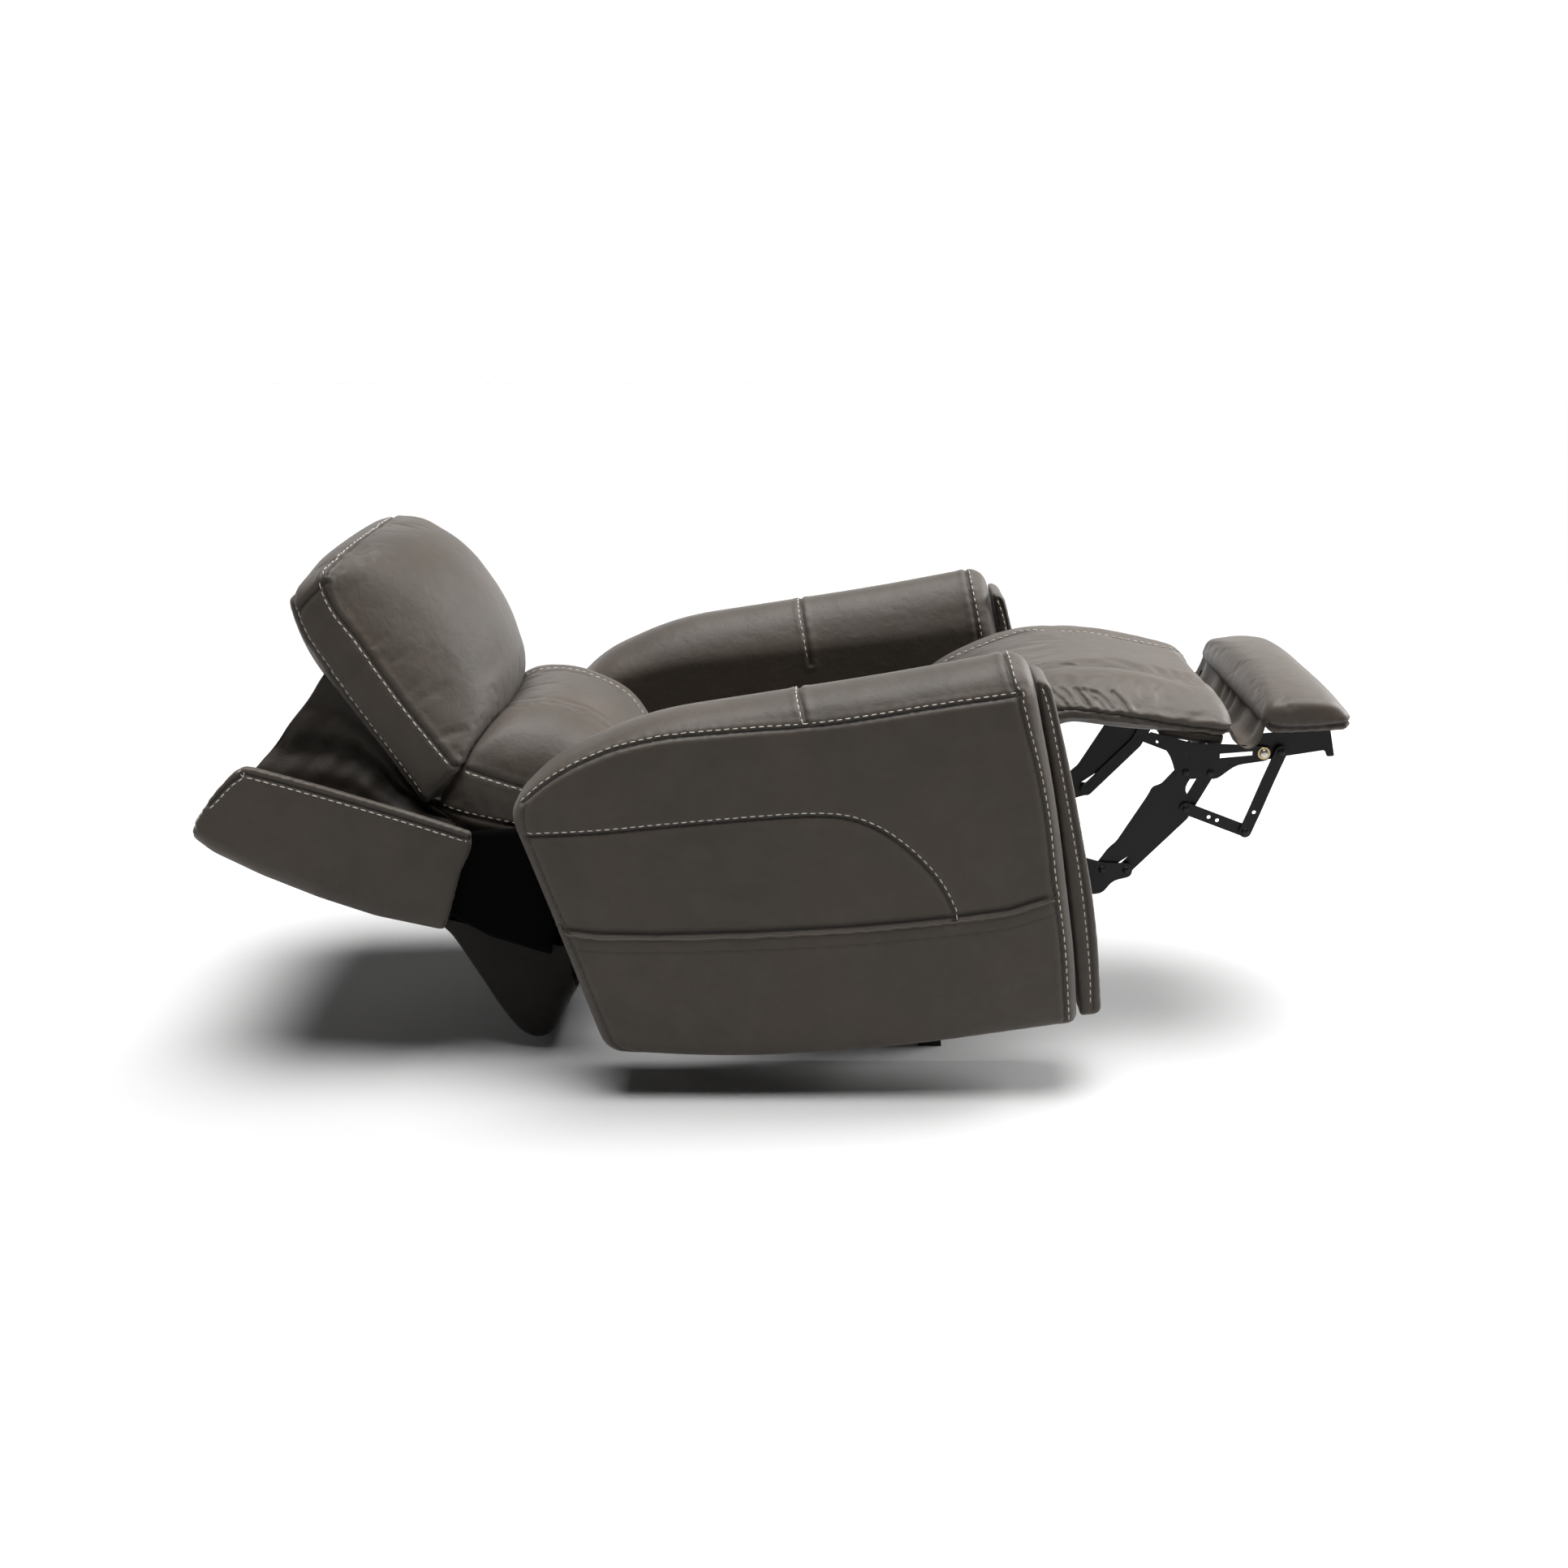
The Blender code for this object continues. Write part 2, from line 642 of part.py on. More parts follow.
def build_ottoman(ottoman):
    """The board under the chaise pad, and the steel frame with its brackets and cross tube."""
    board = plate([(0.045, 0.033), (0.280, 0.000), (0.280, -0.014), (0.045, 0.019)], 0, 0.440)
    finish(board, "ottoman_board", ottoman, "wood")
    side = rounded(
        [
            (0.017, 0.060, 0.010), (0.130, 0.047, 0.030), (0.306, 0.020, 0.010),
            (0.306, 0.000, 0.004), (0.017, 0.0385, 0.004),
        ]
    )
    middle = rounded(
        [
            (0.017, 0.097, 0.010), (0.100, 0.100, 0.050), (0.300, 0.060, 0.030),
            (0.308, 0.000, 0.010), (0.017, 0.0385, 0.004),
        ]
    )
    finish(cushion(side, middle, SEAT_HALF), "chaise_pad_front", ottoman, "leather")
    pivot = relative(BRACKET_PIVOT, KNEE_AXIS)
    second = (pivot[0] + SECOND_OFFSET[0], pivot[1] + SECOND_OFFSET[1])
    flipper = relative(FLIPPER_AXIS, KNEE_AXIS)
    outline = rounded(
        [
            (0.166, 0.004, 0.004),
            (0.240, -0.016, 0.010),
            (0.315, -0.018, 0.015),
            (flipper[0] + 0.014, flipper[1] + 0.010, 0.012),
            (flipper[0] + 0.010, flipper[1] - 0.012, 0.012),
            (0.310, -0.052, 0.012),
            (second[0] + 0.010, second[1] - 0.012, 0.012),
            (second[0] - 0.012, second[1] - 0.008, 0.006),
            (pivot[0] + 0.012, pivot[1] - 0.012, 0.012),
            (pivot[0] - 0.014, pivot[1] - 0.010, 0.012),
            (0.202, -0.034, 0.015),
        ]
    )
    slot = [(0.283, -0.041), (0.336, -0.036), (0.336, -0.029), (0.283, -0.033)]
    brackets = []
    for _, side_sign in sides():
        bracket = plate(outline, plane_y(side_sign, 0), PLATE, [(0.225, -0.034, 0.004)], [slot])
        pins = [
            pin(pivot, side_sign, 0, 1),
            pin(second, side_sign, 0, 2),
            pin(flipper, side_sign, 0, 1),
        ]
        brackets.append(union(bracket, *pins))
    tube = rod((0.262, -0.034), 0.009, -FIRST_PLANE, FIRST_PLANE)
    finish(union(tube, *brackets), "ottoman_frame", ottoman, "black_steel")


def build_flipper(flipper):
    """The small pad past the chaise, its board and its steel frame."""
    board = plate([(0.000, 0.046), (0.128, 0.052), (0.128, 0.042), (0.000, 0.036)], 0, 0.440)
    finish(board, "flipper_board", flipper, "wood")
    side = rounded(
        [(0.002, 0.049, 0.005), (0.000, 0.072, 0.012), (0.118, 0.076, 0.012), (0.140, 0.056, 0.006)]
    )
    middle = rounded(
        [(-0.004, 0.049, 0.005), (-0.008, 0.092, 0.020), (0.118, 0.098, 0.020), (0.144, 0.058, 0.010)]
    )
    finish(cushion(side, middle, 0.262), "flipper_pad", flipper, "leather")
    link = relative(FLIPPER_LINK_PIVOT, FLIPPER_AXIS)
    outline = rounded(
        [
            (-0.016, 0.010, 0.008),
            (-0.011, 0.031, 0.006),
            (0.106, 0.041, 0.004),
            (0.116, -0.006, 0.003),
            (0.104, -0.007, 0.003),
            (0.100, 0.004, 0.004),
            (0.031, -0.007, 0.006),
            (0.000, -0.014, 0.012),
        ]
    )
    parts = []
    for _, side_sign in sides():
        bracket = plate(outline, plane_y(side_sign, 1), PLATE, [(0, 0, HOLE_R)])
        parts.append(union(bracket, pin(link, side_sign, -1, 1)))
    tube = rod((0.080, 0.020), 0.007, -plane_y(1, 1), plane_y(1, 1))
    finish(union(tube, *parts), "flipper_frame", flipper, "black_steel")


def build_links(main, second, drive, push, down):
    """The flat links of the footrest and the flipper, the same on both sides."""
    foot = relative(LINK_FOOT, BRACKET_PIVOT)
    push_pivot = relative(PUSH_PIVOT, BRACKET_PIVOT)
    push_end = relative(PUSH_END, PUSH_PIVOT)
    down_end = relative(PUSH_END, FLIPPER_LINK_PIVOT)
    arm_end = relative(LINK_FOOT, ARM_PIVOT)
    second_end = (arm_end[0] + SECOND_OFFSET[0], arm_end[1] + SECOND_OFFSET[1])
    main_outline = rounded(
        [
            (-0.014, 0.006, 0.012),
            (0.008, 0.014, 0.012),
            (0.014, -0.004, 0.010),
            (-0.001, -0.030, 0.012),
            (push_pivot[0] + 0.010, push_pivot[1] + 0.010, 0.008),
            (push_pivot[0] + 0.010, push_pivot[1] - 0.014, 0.012),
            (-0.014, -0.084, 0.006),
            (-0.022, -0.104, 0.010),
            (-0.046, -0.116, 0.010),
            (-0.052, -0.128, 0.006),
            (-0.071, -0.135, 0.010),
            (foot[0] + 0.018, foot[1] + 0.004, 0.014),
            (foot[0] + 0.002, foot[1] - 0.015, 0.012),
            (foot[0] - 0.016, foot[1] - 0.002, 0.012),
            (foot[0] + 0.010, foot[1] + 0.036, 0.008),
            (foot[0] + 0.022, foot[1] + 0.046, 0.006),
            (-0.058, -0.040, 0.008),
            (-0.052, -0.026, 0.006),
            (-0.038, -0.022, 0.008),
        ]
    )
    finish_pair("main_link", main, lambda side: union(
        plate(main_outline, plane_y(side, 1), PLATE, [(0, 0, HOLE_R), (*foot, HOLE_R)]),
        pin(push_pivot, side, 0, 1),
    ))
    second_outline = strap([(0, 0), (-0.040, -0.075), (foot[0], foot[1])], 0.011)
    finish_pair("second_link", second, lambda side: plate(
        second_outline, plane_y(side, 2), PLATE, [(0, 0, HOLE_R), (*foot, HOLE_R)]
    ))
    finish_pair("push_link", push, lambda side: plate(
        strap([(0, 0), push_end], 0.0100), plane_y(side, 0), PLATE,
        [(0, 0, HOLE_R), (*push_end, HOLE_R), (0.0380, -0.0147, 0.0034), (0.0520, -0.0202, 0.0034)],
    ))
    bend = (-0.019, -0.050)
    finish_pair("down_link", down, lambda side: plate(
        strap([(0, 0), bend, (-0.036, -0.098), down_end], 0.0100), plane_y(side, -1), PLATE,
        [(0, 0, HOLE_R), (*down_end, 0.003), (-0.0375, -0.102, 0.0034)],
    ))
    arm_outline = rounded(
        [
            (-0.014, 0.002, 0.012),
            (0.002, 0.014, 0.012),
            (arm_end[0], arm_end[1] + 0.012, 0.010),
            (second_end[0] + 0.010, second_end[1] + 0.011, 0.010),
            (second_end[0] + 0.010, second_end[1] - 0.011, 0.010),
            (0.246, -0.084, 0.012),
            (0.232, -0.106, 0.012),
            (0.206, -0.108, 0.014),
            (0.130, -0.060, 0.030),
            (-0.002, -0.014, 0.012),
        ]
    )
    arms = []
    for _, side in sides():
        arm = plate(arm_outline, plane_y(side, 0), PLATE)
        arms.append(
            union(arm, pin((0, 0), side, -1, 0), pin(arm_end, side, 0, 1), pin(second_end, side, 0, 2))
        )
    tube = rod((0, 0), 0.011, -FIRST_PLANE, FIRST_PLANE)
    crank = plate(strap([(0, 0), (0.031, -0.046)], 0.009), 0.070, 0.006)
    finish(union(tube, crank, *arms), "drive_arms", drive, "black_steel")


def finish_pair(name, parent, build):
    """A piece for each side of the chair, built by a function of the side."""
    for letter, side in sides():
        finish(build(side), name + "_" + letter, parent, "black_steel")


def build_carriages(chassis):
    """The motors' carriages: blocks on the rails, slotted for the cranks they push."""
    carriages = (
        ("footrest_carriage", (0.1976, 0.070, 0.2785)),
        ("recline_carriage", (-0.3425, -0.070, 0.2885)),
    )
    for name, place in carriages:
        travel = chassis_empty(name + "_travel", chassis, place)
        shape = block((-0.016, -0.016, 0.0), (0.016, 0.016, 0.052))
        slot = block((-0.020, -0.005, 0.008), (0.020, 0.005, 0.060))
        finish(cut(shape, slot), name, travel, "motor_grey")


def build_headrest_rod(rod_empty):
    """The headrest motor's rod, slotted at its end for the lever it pushes."""
    shape = block((-0.005, -0.008, -0.178), (0.005, 0.008, 0.012))
    slot = block((-0.010, -0.0035, -0.018), (0.010, 0.0035, 0.020))
    finish(cut(shape, slot), "headrest_rod", rod_empty, "zinc")


def build_flap(back):
    """The leather flap that hangs in a loop between the outer shell and the chassis."""
    loop = [
        (-0.556, 0.222), (-0.535, 0.195), (-0.500, 0.125), (-0.474, 0.070), (-0.443, 0.030),
        (-0.410, 0.019), (-0.380, 0.033), (-0.356, 0.075), (-0.338, 0.105),
    ]
    local = [to_frame(point, RECLINE_AXIS, BACK_TILT) for point in loop]
    finish(plate(strap(local, 0.002, 1), 0, 0.500), "rear_flap", back, "leather")


def build_chair():
    """Makes each body's empty on its joint's axis, and the pieces in its frame."""
    build_base(axis_empty("base_origin", (0, 0), 0))
    rock_axis = axis_empty("rock_axis", ROCK_AXIS, CHASSIS_TILT)
    chassis = chassis_empty("chassis_floor", rock_axis, (0, 0, -ROCK_AXIS[1]))
    build_arms(chassis)
    build_seat(chassis)
    build_mechanism(chassis)
    build_controls(chassis)
    build_carriages(chassis)
    recline_axis = axis_empty("recline_axis", RECLINE_AXIS, BACK_TILT)
    build_back(recline_axis)
    build_flap(recline_axis)
    build_headrest(axis_empty("headrest_axis", HEADREST_AXIS, HEADREST_TILT))
    lever_end = from_frame(HEADREST_LEVER_END, HEADREST_AXIS, HEADREST_TILT)
    build_headrest_rod(axis_empty("headrest_rod_travel", lever_end, BACK_TILT))
    build_ottoman(axis_empty("knee_axis", KNEE_AXIS, 0))
    build_flipper(axis_empty("flipper_axis", FLIPPER_AXIS, 0))
    second = (BRACKET_PIVOT[0] + SECOND_OFFSET[0], BRACKET_PIVOT[1] + SECOND_OFFSET[1])
    build_links(
        axis_empty("main_link_axis", BRACKET_PIVOT, 0),
        axis_empty("second_link_axis", second, 0),
        axis_empty("drive_arm_axis", ARM_PIVOT, 0),
        axis_empty("push_link_axis", PUSH_PIVOT, 0),
        axis_empty("down_link_axis", FLIPPER_LINK_PIVOT, 0),
    )


clear_scene()
CHAIR = new_collection("recliner_armchair")
build_chair()
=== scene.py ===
"""Looks for a power recliner armchair, lying back with its footrest out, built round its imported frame."""

from math import ceil, cos, hypot, pi, radians, sin, sqrt

import bpy
import numpy as np
from mathutils import Euler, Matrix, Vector
from mathutils.bvhtree import BVHTree
from mathutils.kdtree import KDTree


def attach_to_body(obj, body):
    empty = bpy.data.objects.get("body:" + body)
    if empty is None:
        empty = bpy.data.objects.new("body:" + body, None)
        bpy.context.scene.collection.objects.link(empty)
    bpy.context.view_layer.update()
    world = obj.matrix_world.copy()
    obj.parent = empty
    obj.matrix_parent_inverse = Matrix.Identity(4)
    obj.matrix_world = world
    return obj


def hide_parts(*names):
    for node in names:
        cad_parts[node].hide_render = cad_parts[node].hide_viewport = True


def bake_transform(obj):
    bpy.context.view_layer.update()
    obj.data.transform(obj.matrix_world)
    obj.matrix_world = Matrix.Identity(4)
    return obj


# Each body's axis (X, Z), the turn of its frame about +Y in degrees, and the height taken off its Z.
FRAMES = {
    "chassis": ((0.108, 0.610), -7.0, 0.610),
    "back": ((-0.252, 0.375), -75.0, 0.0),
    "headrest": ((-0.552, 0.430), -30.3, 0.0),
    "ottoman": ((0.438, 0.555), 0.0, 0.0),
    "flipper": ((0.792, 0.523), 0.0, 0.0),
    "world": ((0.0, 0.0), 0.0, 0.0),
}
SIDES = (("L", 1), ("R", -1))

ARM_OUTER = 0.445
ARM_INNER = 0.280
SEAT_HALF = 0.270

STITCH_PITCH = 0.0132
STITCH_LENGTH = 0.0098
STITCH_RADIUS = 0.00090

# Where the footrest's and the flipper's own frames start, in the row frame.
KNEE_X, KNEE_Z = 0.438, 0.555
FLIPPER_X, FLIPPER_Z = 0.792, 0.523

# Half the width between the two seams that part the back and the chaise into rolls.
ROLL_SEAM = 0.135


# ---------------------------------------------------------------- geometry helpers


def place(body, x, y, z):
    """A point of a body's own frame, in the row frame."""
    (ox, oz), turn, lift = FRAMES[body]
    c, s = cos(radians(turn)), sin(radians(turn))
    z -= lift
    return Vector((ox + x * c + z * s, y, oz - x * s + z * c))


def rounded(corners, steps=6):
    """An outline through (x, z, radius) corners, each replaced by an arc of that radius."""
    points = []
    for i, (x, z, radius) in enumerate(corners):
        before, after = corners[i - 1], corners[(i + 1) % len(corners)]
        a = (before[0] - x, before[1] - z)
        b = (after[0] - x, after[1] - z)
        la, lb = hypot(*a), hypot(*b)
        reach = min(radius, 0.45 * la, 0.45 * lb)
        for k in range(steps + 1):
            t = k / steps
            wa, wb = reach * (1 - t) ** 2 / la, reach * t**2 / lb
            points.append((x + wa * a[0] + wb * b[0], z + wa * a[1] + wb * b[1]))
    return points


def marks_along(points):
    """Each point's distance from the first one, along the line through them."""
    return np.concatenate([[0], np.cumsum(np.linalg.norm(np.diff(points, axis=0), axis=1))])


def spline(points, step):
    """A smooth curve through 3-D points, as points about a step apart."""
    p = [np.array(v, float) for v in points]
    if len(p) == 2:
        fine = [p[0] + (p[1] - p[0]) * t for t in np.linspace(0, 1, 20)]
    else:
        p = [2 * p[0] - p[1]] + p + [2 * p[-1] - p[-2]]
        fine = []
        for i in range(1, len(p) - 2):
            a, b, c, d = p[i - 1 : i + 3]
            for t in np.linspace(0, 1, 16, endpoint=False):
                bend = (2 * a - 5 * b + 4 * c - d) * t**2 + (3 * b - a - 3 * c + d) * t**3
                fine.append(0.5 * (2 * b + (c - a) * t + bend))
        fine.append(p[-2])
    fine = np.array(fine)
    lengths = marks_along(fine)
    count = max(2, int(ceil(lengths[-1] / step)) + 1)
    at = np.linspace(0, lengths[-1], count)
    return np.stack([np.interp(at, lengths, fine[:, k]) for k in range(3)], axis=1)


def new_object(name, verts, faces):
    mesh = bpy.data.meshes.new(name)
    mesh.from_pydata([tuple(v) for v in verts], [], faces)
    mesh.update()
    obj = bpy.data.objects.new(name, mesh)
    bpy.context.scene.collection.objects.link(obj)
    return obj


def apply_modifiers(obj):
    """Makes what the modifiers show the object's own mesh."""
    bpy.context.view_layer.update()
    graph = bpy.context.evaluated_depsgraph_get()
    mesh = bpy.data.meshes.new_from_object(obj.evaluated_get(graph))
    obj.modifiers.clear()
    obj.data = mesh
    return obj


def shrunk(outline, by):
    """A closed outline drawn in by a distance."""
    p = np.array(outline, float)
    ahead, behind = np.roll(p, -1, axis=0), np.roll(p, 1, axis=0)
    area = 0.5 * np.sum(p[:, 0] * ahead[:, 1] - ahead[:, 0] * p[:, 1])
    tangent = ahead - behind
    tangent /= np.maximum(np.linalg.norm(tangent, axis=1, keepdims=True), 1e-9)
    inward = np.stack([-tangent[:, 1], tangent[:, 0]], axis=1) * np.sign(area)
    return p + inward * by


def closed_rings(rings, sides, base=0):
    """The faces of a closed tube: quads from each ring of points to the next, and a cap at either end."""
    faces = []
    for i in range(rings - 1):
        ring, following = base + i * sides, base + (i + 1) * sides
        for k in range(sides):
            m = (k + 1) % sides
            faces.append((ring + k, ring + m, following + m, following + k))
    faces.append(tuple(range(base, base + sides))[::-1])
    faces.append(tuple(range(base + (rings - 1) * sides, base + rings * sides)))
    return faces


def loft(name, body, side, middle, half, centre=0.0, power=3.0, edge=0.02, stations=29):
    """A closed cushion: the side outline at both ends, filling out to the middle one, with rounded ends."""
    side, middle = np.array(side, float), np.array(middle, float)
    verts = []
    for i in range(stations):
        s = -cos(pi * i / (stations - 1))
        outline = side + (middle - side) * (1 - abs(s) ** power)
        near = half * (1 - abs(s))
        if near < edge:
            outline = shrunk(outline, edge - sqrt(edge**2 - (edge - near) ** 2))
        verts += [place(body, x, centre + s * half, z) for x, z in outline]
    return new_object(name, verts, closed_rings(stations, len(side)))


def remeshed(obj, voxel, smooth=8):
    """Even quads all over, smoothed free of voxel steps."""
    step = obj.modifiers.new("even", "REMESH")
    step.mode = "VOXEL"
    step.voxel_size = voxel
    step = obj.modifiers.new("smooth", "SMOOTH")
    step.factor = 0.5
    step.iterations = smooth
    return apply_modifiers(obj)


def subdivided(obj, levels=1):
    step = obj.modifiers.new("finer", "SUBSURF")
    step.levels = step.render_levels = levels
    return apply_modifiers(obj)


def coordinates(obj):
    co = np.empty(len(obj.data.vertices) * 3, np.float32)
    obj.data.vertices.foreach_get("co", co)
    return co.reshape(-1, 3).astype(float)


def normals(obj):
    no = np.empty(len(obj.data.vertices) * 3, np.float32)
    obj.data.vertex_normals.foreach_get("vector", no)
    return no.reshape(-1, 3).astype(float)


def set_coordinates(obj, co):
    obj.data.vertices.foreach_set("co", co.astype(np.float32).ravel())
    obj.data.update()


def surface_of(obj):
    graph = bpy.context.evaluated_depsgraph_get()
    bpy.context.view_layer.update()
    return BVHTree.FromObject(obj, graph)


def lie_on(tree, points, step=0.0025):
    """A smooth line through points, laid on a surface, with the surface's normals along it."""
    on, up = [], []
    for point in spline(points, step):
        hit, normal, _, _ = tree.find_nearest(Vector(point))
        on.append(np.array(hit))
        up.append(np.array(normal))
    return np.array(on), np.array(up)


def aside(tree, on, up, offset):
    """A line beside one on the surface, offset to the left of its direction seen from outside."""
    along = np.gradient(on, axis=0)
    along /= np.maximum(np.linalg.norm(along, axis=1, keepdims=True), 1e-9)
    across = np.cross(up, along)
    moved = on + across * offset
    out, out_up = [], []
    for point in moved:
        hit, normal, _, _ = tree.find_nearest(Vector(point))
        out.append(np.array(hit))
        out_up.append(np.array(normal))
    return np.array(out), np.array(out_up)


def seam_field(obj, lines, reach):
    """Each vertex's distance to the nearest line and its place along it, or reach and 0 beyond it."""
    co = coordinates(obj)
    every = np.concatenate(lines)
    marks = np.concatenate([marks_along(line) for line in lines])
    tree = KDTree(len(every))
    for i, point in enumerate(every):
        tree.insert(point, i)
    tree.balance()
    low, high = every.min(0) - reach, every.max(0) + reach
    inside = np.nonzero(((co > low) & (co < high)).all(1))[0]
    distance, along = np.full(len(co), reach), np.zeros(len(co))
    for i in inside:
        _, index, d = tree.find(co[i])
        if d < reach:
            distance[i], along[i] = d, marks[index]
    return distance, along


def mark(obj, name, values):
    """Adds a value at each vertex that the material reads, keeping the larger where there is one already."""
    found = obj.data.attributes.get(name)
    if found is None:
        found = obj.data.attributes.new(name, "FLOAT", "POINT")
    old = np.zeros(len(values), np.float32)
    found.data.foreach_get("value", old)
    found.data.foreach_set("value", np.maximum(old, values).astype(np.float32))


def hill(distance, centre, width):
    """A smooth bump, 1 at the centre."""
    return np.exp(-(((distance - centre) / width) ** 2))


def pull_in(obj, lines, depth=0.0032, width=0.0032, pucker=0.0004, wave=0.021, puff=0.0010):
    """Sinks the surface along seams, puffs and puckers it beside them, and marks them for the material:
    painted shade in the seams, paler wear beside them.
    """
    reach = 0.03
    distance, along = seam_field(obj, lines, reach)
    groove = hill(distance, 0, width)
    ripple = np.sin(along * 2 * pi / wave + 2.1 * np.sin(along * 19.0)) * hill(distance, 0, 0.013)
    push = -depth * groove + puff * hill(distance, 0.009, 0.006) + pucker * ripple * (1 - groove)
    push[distance >= reach] = 0
    set_coordinates(obj, coordinates(obj) + normals(obj) * push[:, None])
    # Painted shade along the groove.
    mark(obj, "seam", np.where(distance < reach, hill(distance, 0, 0.75 * width), 0))
    mark(obj, "wear", np.where(distance < reach, hill(distance, 0.006, 0.004), 0))


def crease(obj, lines, depth=0.003, width=0.006):
    """Soft folds along lines: a valley with raised shoulders."""
    reach = 5 * width
    distance, _ = seam_field(obj, lines, reach)
    push = -depth * hill(distance, 0, width) + 0.55 * depth * hill(distance, 1.8 * width, width)
    push[distance >= reach] = 0
    set_coordinates(obj, coordinates(obj) + normals(obj) * push[:, None])


STITCHES = {}


def sew(key, on, up):
    """Adds stitches along a line on a surface to the mesh kept under that key."""
    verts, faces = STITCHES.setdefault(key, ([], []))
    marks = marks_along(on)
    sides = 6
    shares = (0.0, 0.16, 0.5, 0.84, 1.0)

    def along(values, at):
        return np.array([np.interp(at, marks, values[:, k]) for k in range(3)])

    for i in range(int((marks[-1] - STITCH_LENGTH) // STITCH_PITCH) + 1):
        base = len(verts)
        for t in shares:
            at = i * STITCH_PITCH + t * STITCH_LENGTH
            p = along(on, at)
            n = along(up, at)
            n /= np.linalg.norm(n)
            d = along(on, at + 0.001) - along(on, at - 0.001)
            d /= max(np.linalg.norm(d), 1e-9)
            b = np.cross(n, d)
            # The ends dip under the leather and thin out.
            lift = 0.0004 - 0.0013 * abs(2 * t - 1) ** 3
            radius = STITCH_RADIUS * (1 - 0.55 * abs(2 * t - 1) ** 4)
            for k in range(sides):
                a = 2 * pi * k / sides
                verts.append(p + n * (lift + radius * cos(a)) + b * radius * sin(a))
        faces.extend(closed_rings(len(shares), sides, base))


def seams(obj, key, lines, offsets=(0.006,), **pull):
    """Sinks seam lines into a piece, each a list of row-frame points, and sews beside them."""
    tree = surface_of(obj)
    laid = [lie_on(tree, line) for line in lines]
    pull_in(obj, [on for on, _ in laid], **pull)
    tree = surface_of(obj)
    for on, up in laid:
        for offset in offsets:
            sew(key, *aside(tree, on, up, offset))


def sew_boxing(obj, key, upper, lower):
    """The two seams along a side's boxing strip, near side first, with their stitches on the strip."""
    for lines, turn in ((upper, -1), (lower, 1)):
        for line, mirror in zip(lines, (1, -1)):
            seams(obj, key, [line], (0.0055 * turn * mirror,), pucker=0.0004)


def inflate(obj, held, pressure, cap, grow=0.0):
    """Swells a piece under pressure with some points held, as stuffing does under leather."""
    frames, stiffness = 20, 12.0
    group = obj.vertex_groups.new(name="held")
    for i in np.nonzero(held > 0.02)[0]:
        group.add([int(i)], float(min(1.0, held[i])), "REPLACE")
    start = coordinates(obj)
    cloth = obj.modifiers.new("stuffing", "CLOTH")
    settings = cloth.settings
    settings.quality = 5
    settings.mass = 0.4
    settings.tension_stiffness = stiffness
    settings.compression_stiffness = stiffness
    settings.shear_stiffness = 0.4 * stiffness
    settings.bending_stiffness = 0.8
    settings.use_pressure = True
    settings.uniform_pressure_force = pressure
    settings.shrink_min = -grow
    settings.effector_weights.gravity = 0
    settings.vertex_group_mass = "held"
    cloth.collision_settings.use_collision = False
    cloth.point_cache.frame_start, cloth.point_cache.frame_end = 1, frames
    scene = bpy.context.scene
    for frame_number in range(1, frames + 1):
        scene.frame_set(frame_number)
    graph = bpy.context.evaluated_depsgraph_get()
    swollen = bpy.data.meshes.new_from_object(obj.evaluated_get(graph))
    end = np.empty(len(swollen.vertices) * 3, np.float32)
    swollen.vertices.foreach_get("co", end)
    end = end.reshape(-1, 3).astype(float)
    obj.modifiers.clear()
    obj.vertex_groups.clear()
    bpy.data.meshes.remove(swollen)
    scene.frame_set(1)
    travel = end - start
    far = np.linalg.norm(travel, axis=1, keepdims=True)
    set_coordinates(obj, start + travel * np.minimum(1, cap / np.maximum(far, 1e-9)))


def near_lines(obj, lines, reach):
    """1 on the lines, falling to 0 at reach."""
    distance, _ = seam_field(obj, [spline(line, 0.004) for line in lines], reach)
    return np.clip(1.6 * (1 - distance / reach), 0, 1)


def tube(name, points, radius, sides=8):
    """A round tube along points close together, closed at both ends."""
    p = np.array(points, float)
    count = len(p)
    verts = []
    reference = None
    for i in range(count):
        d = p[min(i + 1, count - 1)] - p[max(i - 1, 0)]
        d /= max(np.linalg.norm(d), 1e-9)
        if reference is None:
            reference = np.array([0, 1, 0.01]) if abs(d[1]) < 0.9 else np.array([0, 0, 1.0])
        n = reference - d * (reference @ d)
        n /= np.linalg.norm(n)
        reference = n
        b = np.cross(d, n)
        for k in range(sides):
            a = 2 * pi * k / sides
            verts.append(p[i] + n * radius * cos(a) + b * radius * sin(a))
    return new_object(name, verts, closed_rings(count, sides))


# ---------------------------------------------------------------- materials


def add(tree, kind, **values):
    node = tree.nodes.new(kind)
    for key, value in values.items():
        if key in node.inputs:
            node.inputs[key].default_value = value
        else:
            setattr(node, key, value)
    return node


def nodes_of(name):
    """A new material with its node tree, its shader and the place of each point on the piece."""
    made = bpy.data.materials.new(name)
    made.use_nodes = True
    tree = made.node_tree
    where = add(tree, "ShaderNodeTexCoord").outputs["Object"]
    return made, tree, tree.nodes["Principled BSDF"], where


def calculate(tree, operation, *values):
    """The result of a Math node on sockets and numbers."""
    node = tree.nodes.new("ShaderNodeMath")
    node.operation = operation
    for i, value in enumerate(values):
        if isinstance(value, (int, float)):
            node.inputs[i].default_value = value
        else:
            tree.links.new(value, node.inputs[i])
    return node.outputs[0]


def ramp(tree, source, low, high):
    """A value stretched so that low becomes 0 and high becomes 1."""
    node = add(tree, "ShaderNodeMapRange")
    node.inputs["From Min"].default_value = low
    node.inputs["From Max"].default_value = high
    tree.links.new(source, node.inputs["Value"])
    return node.outputs["Result"]


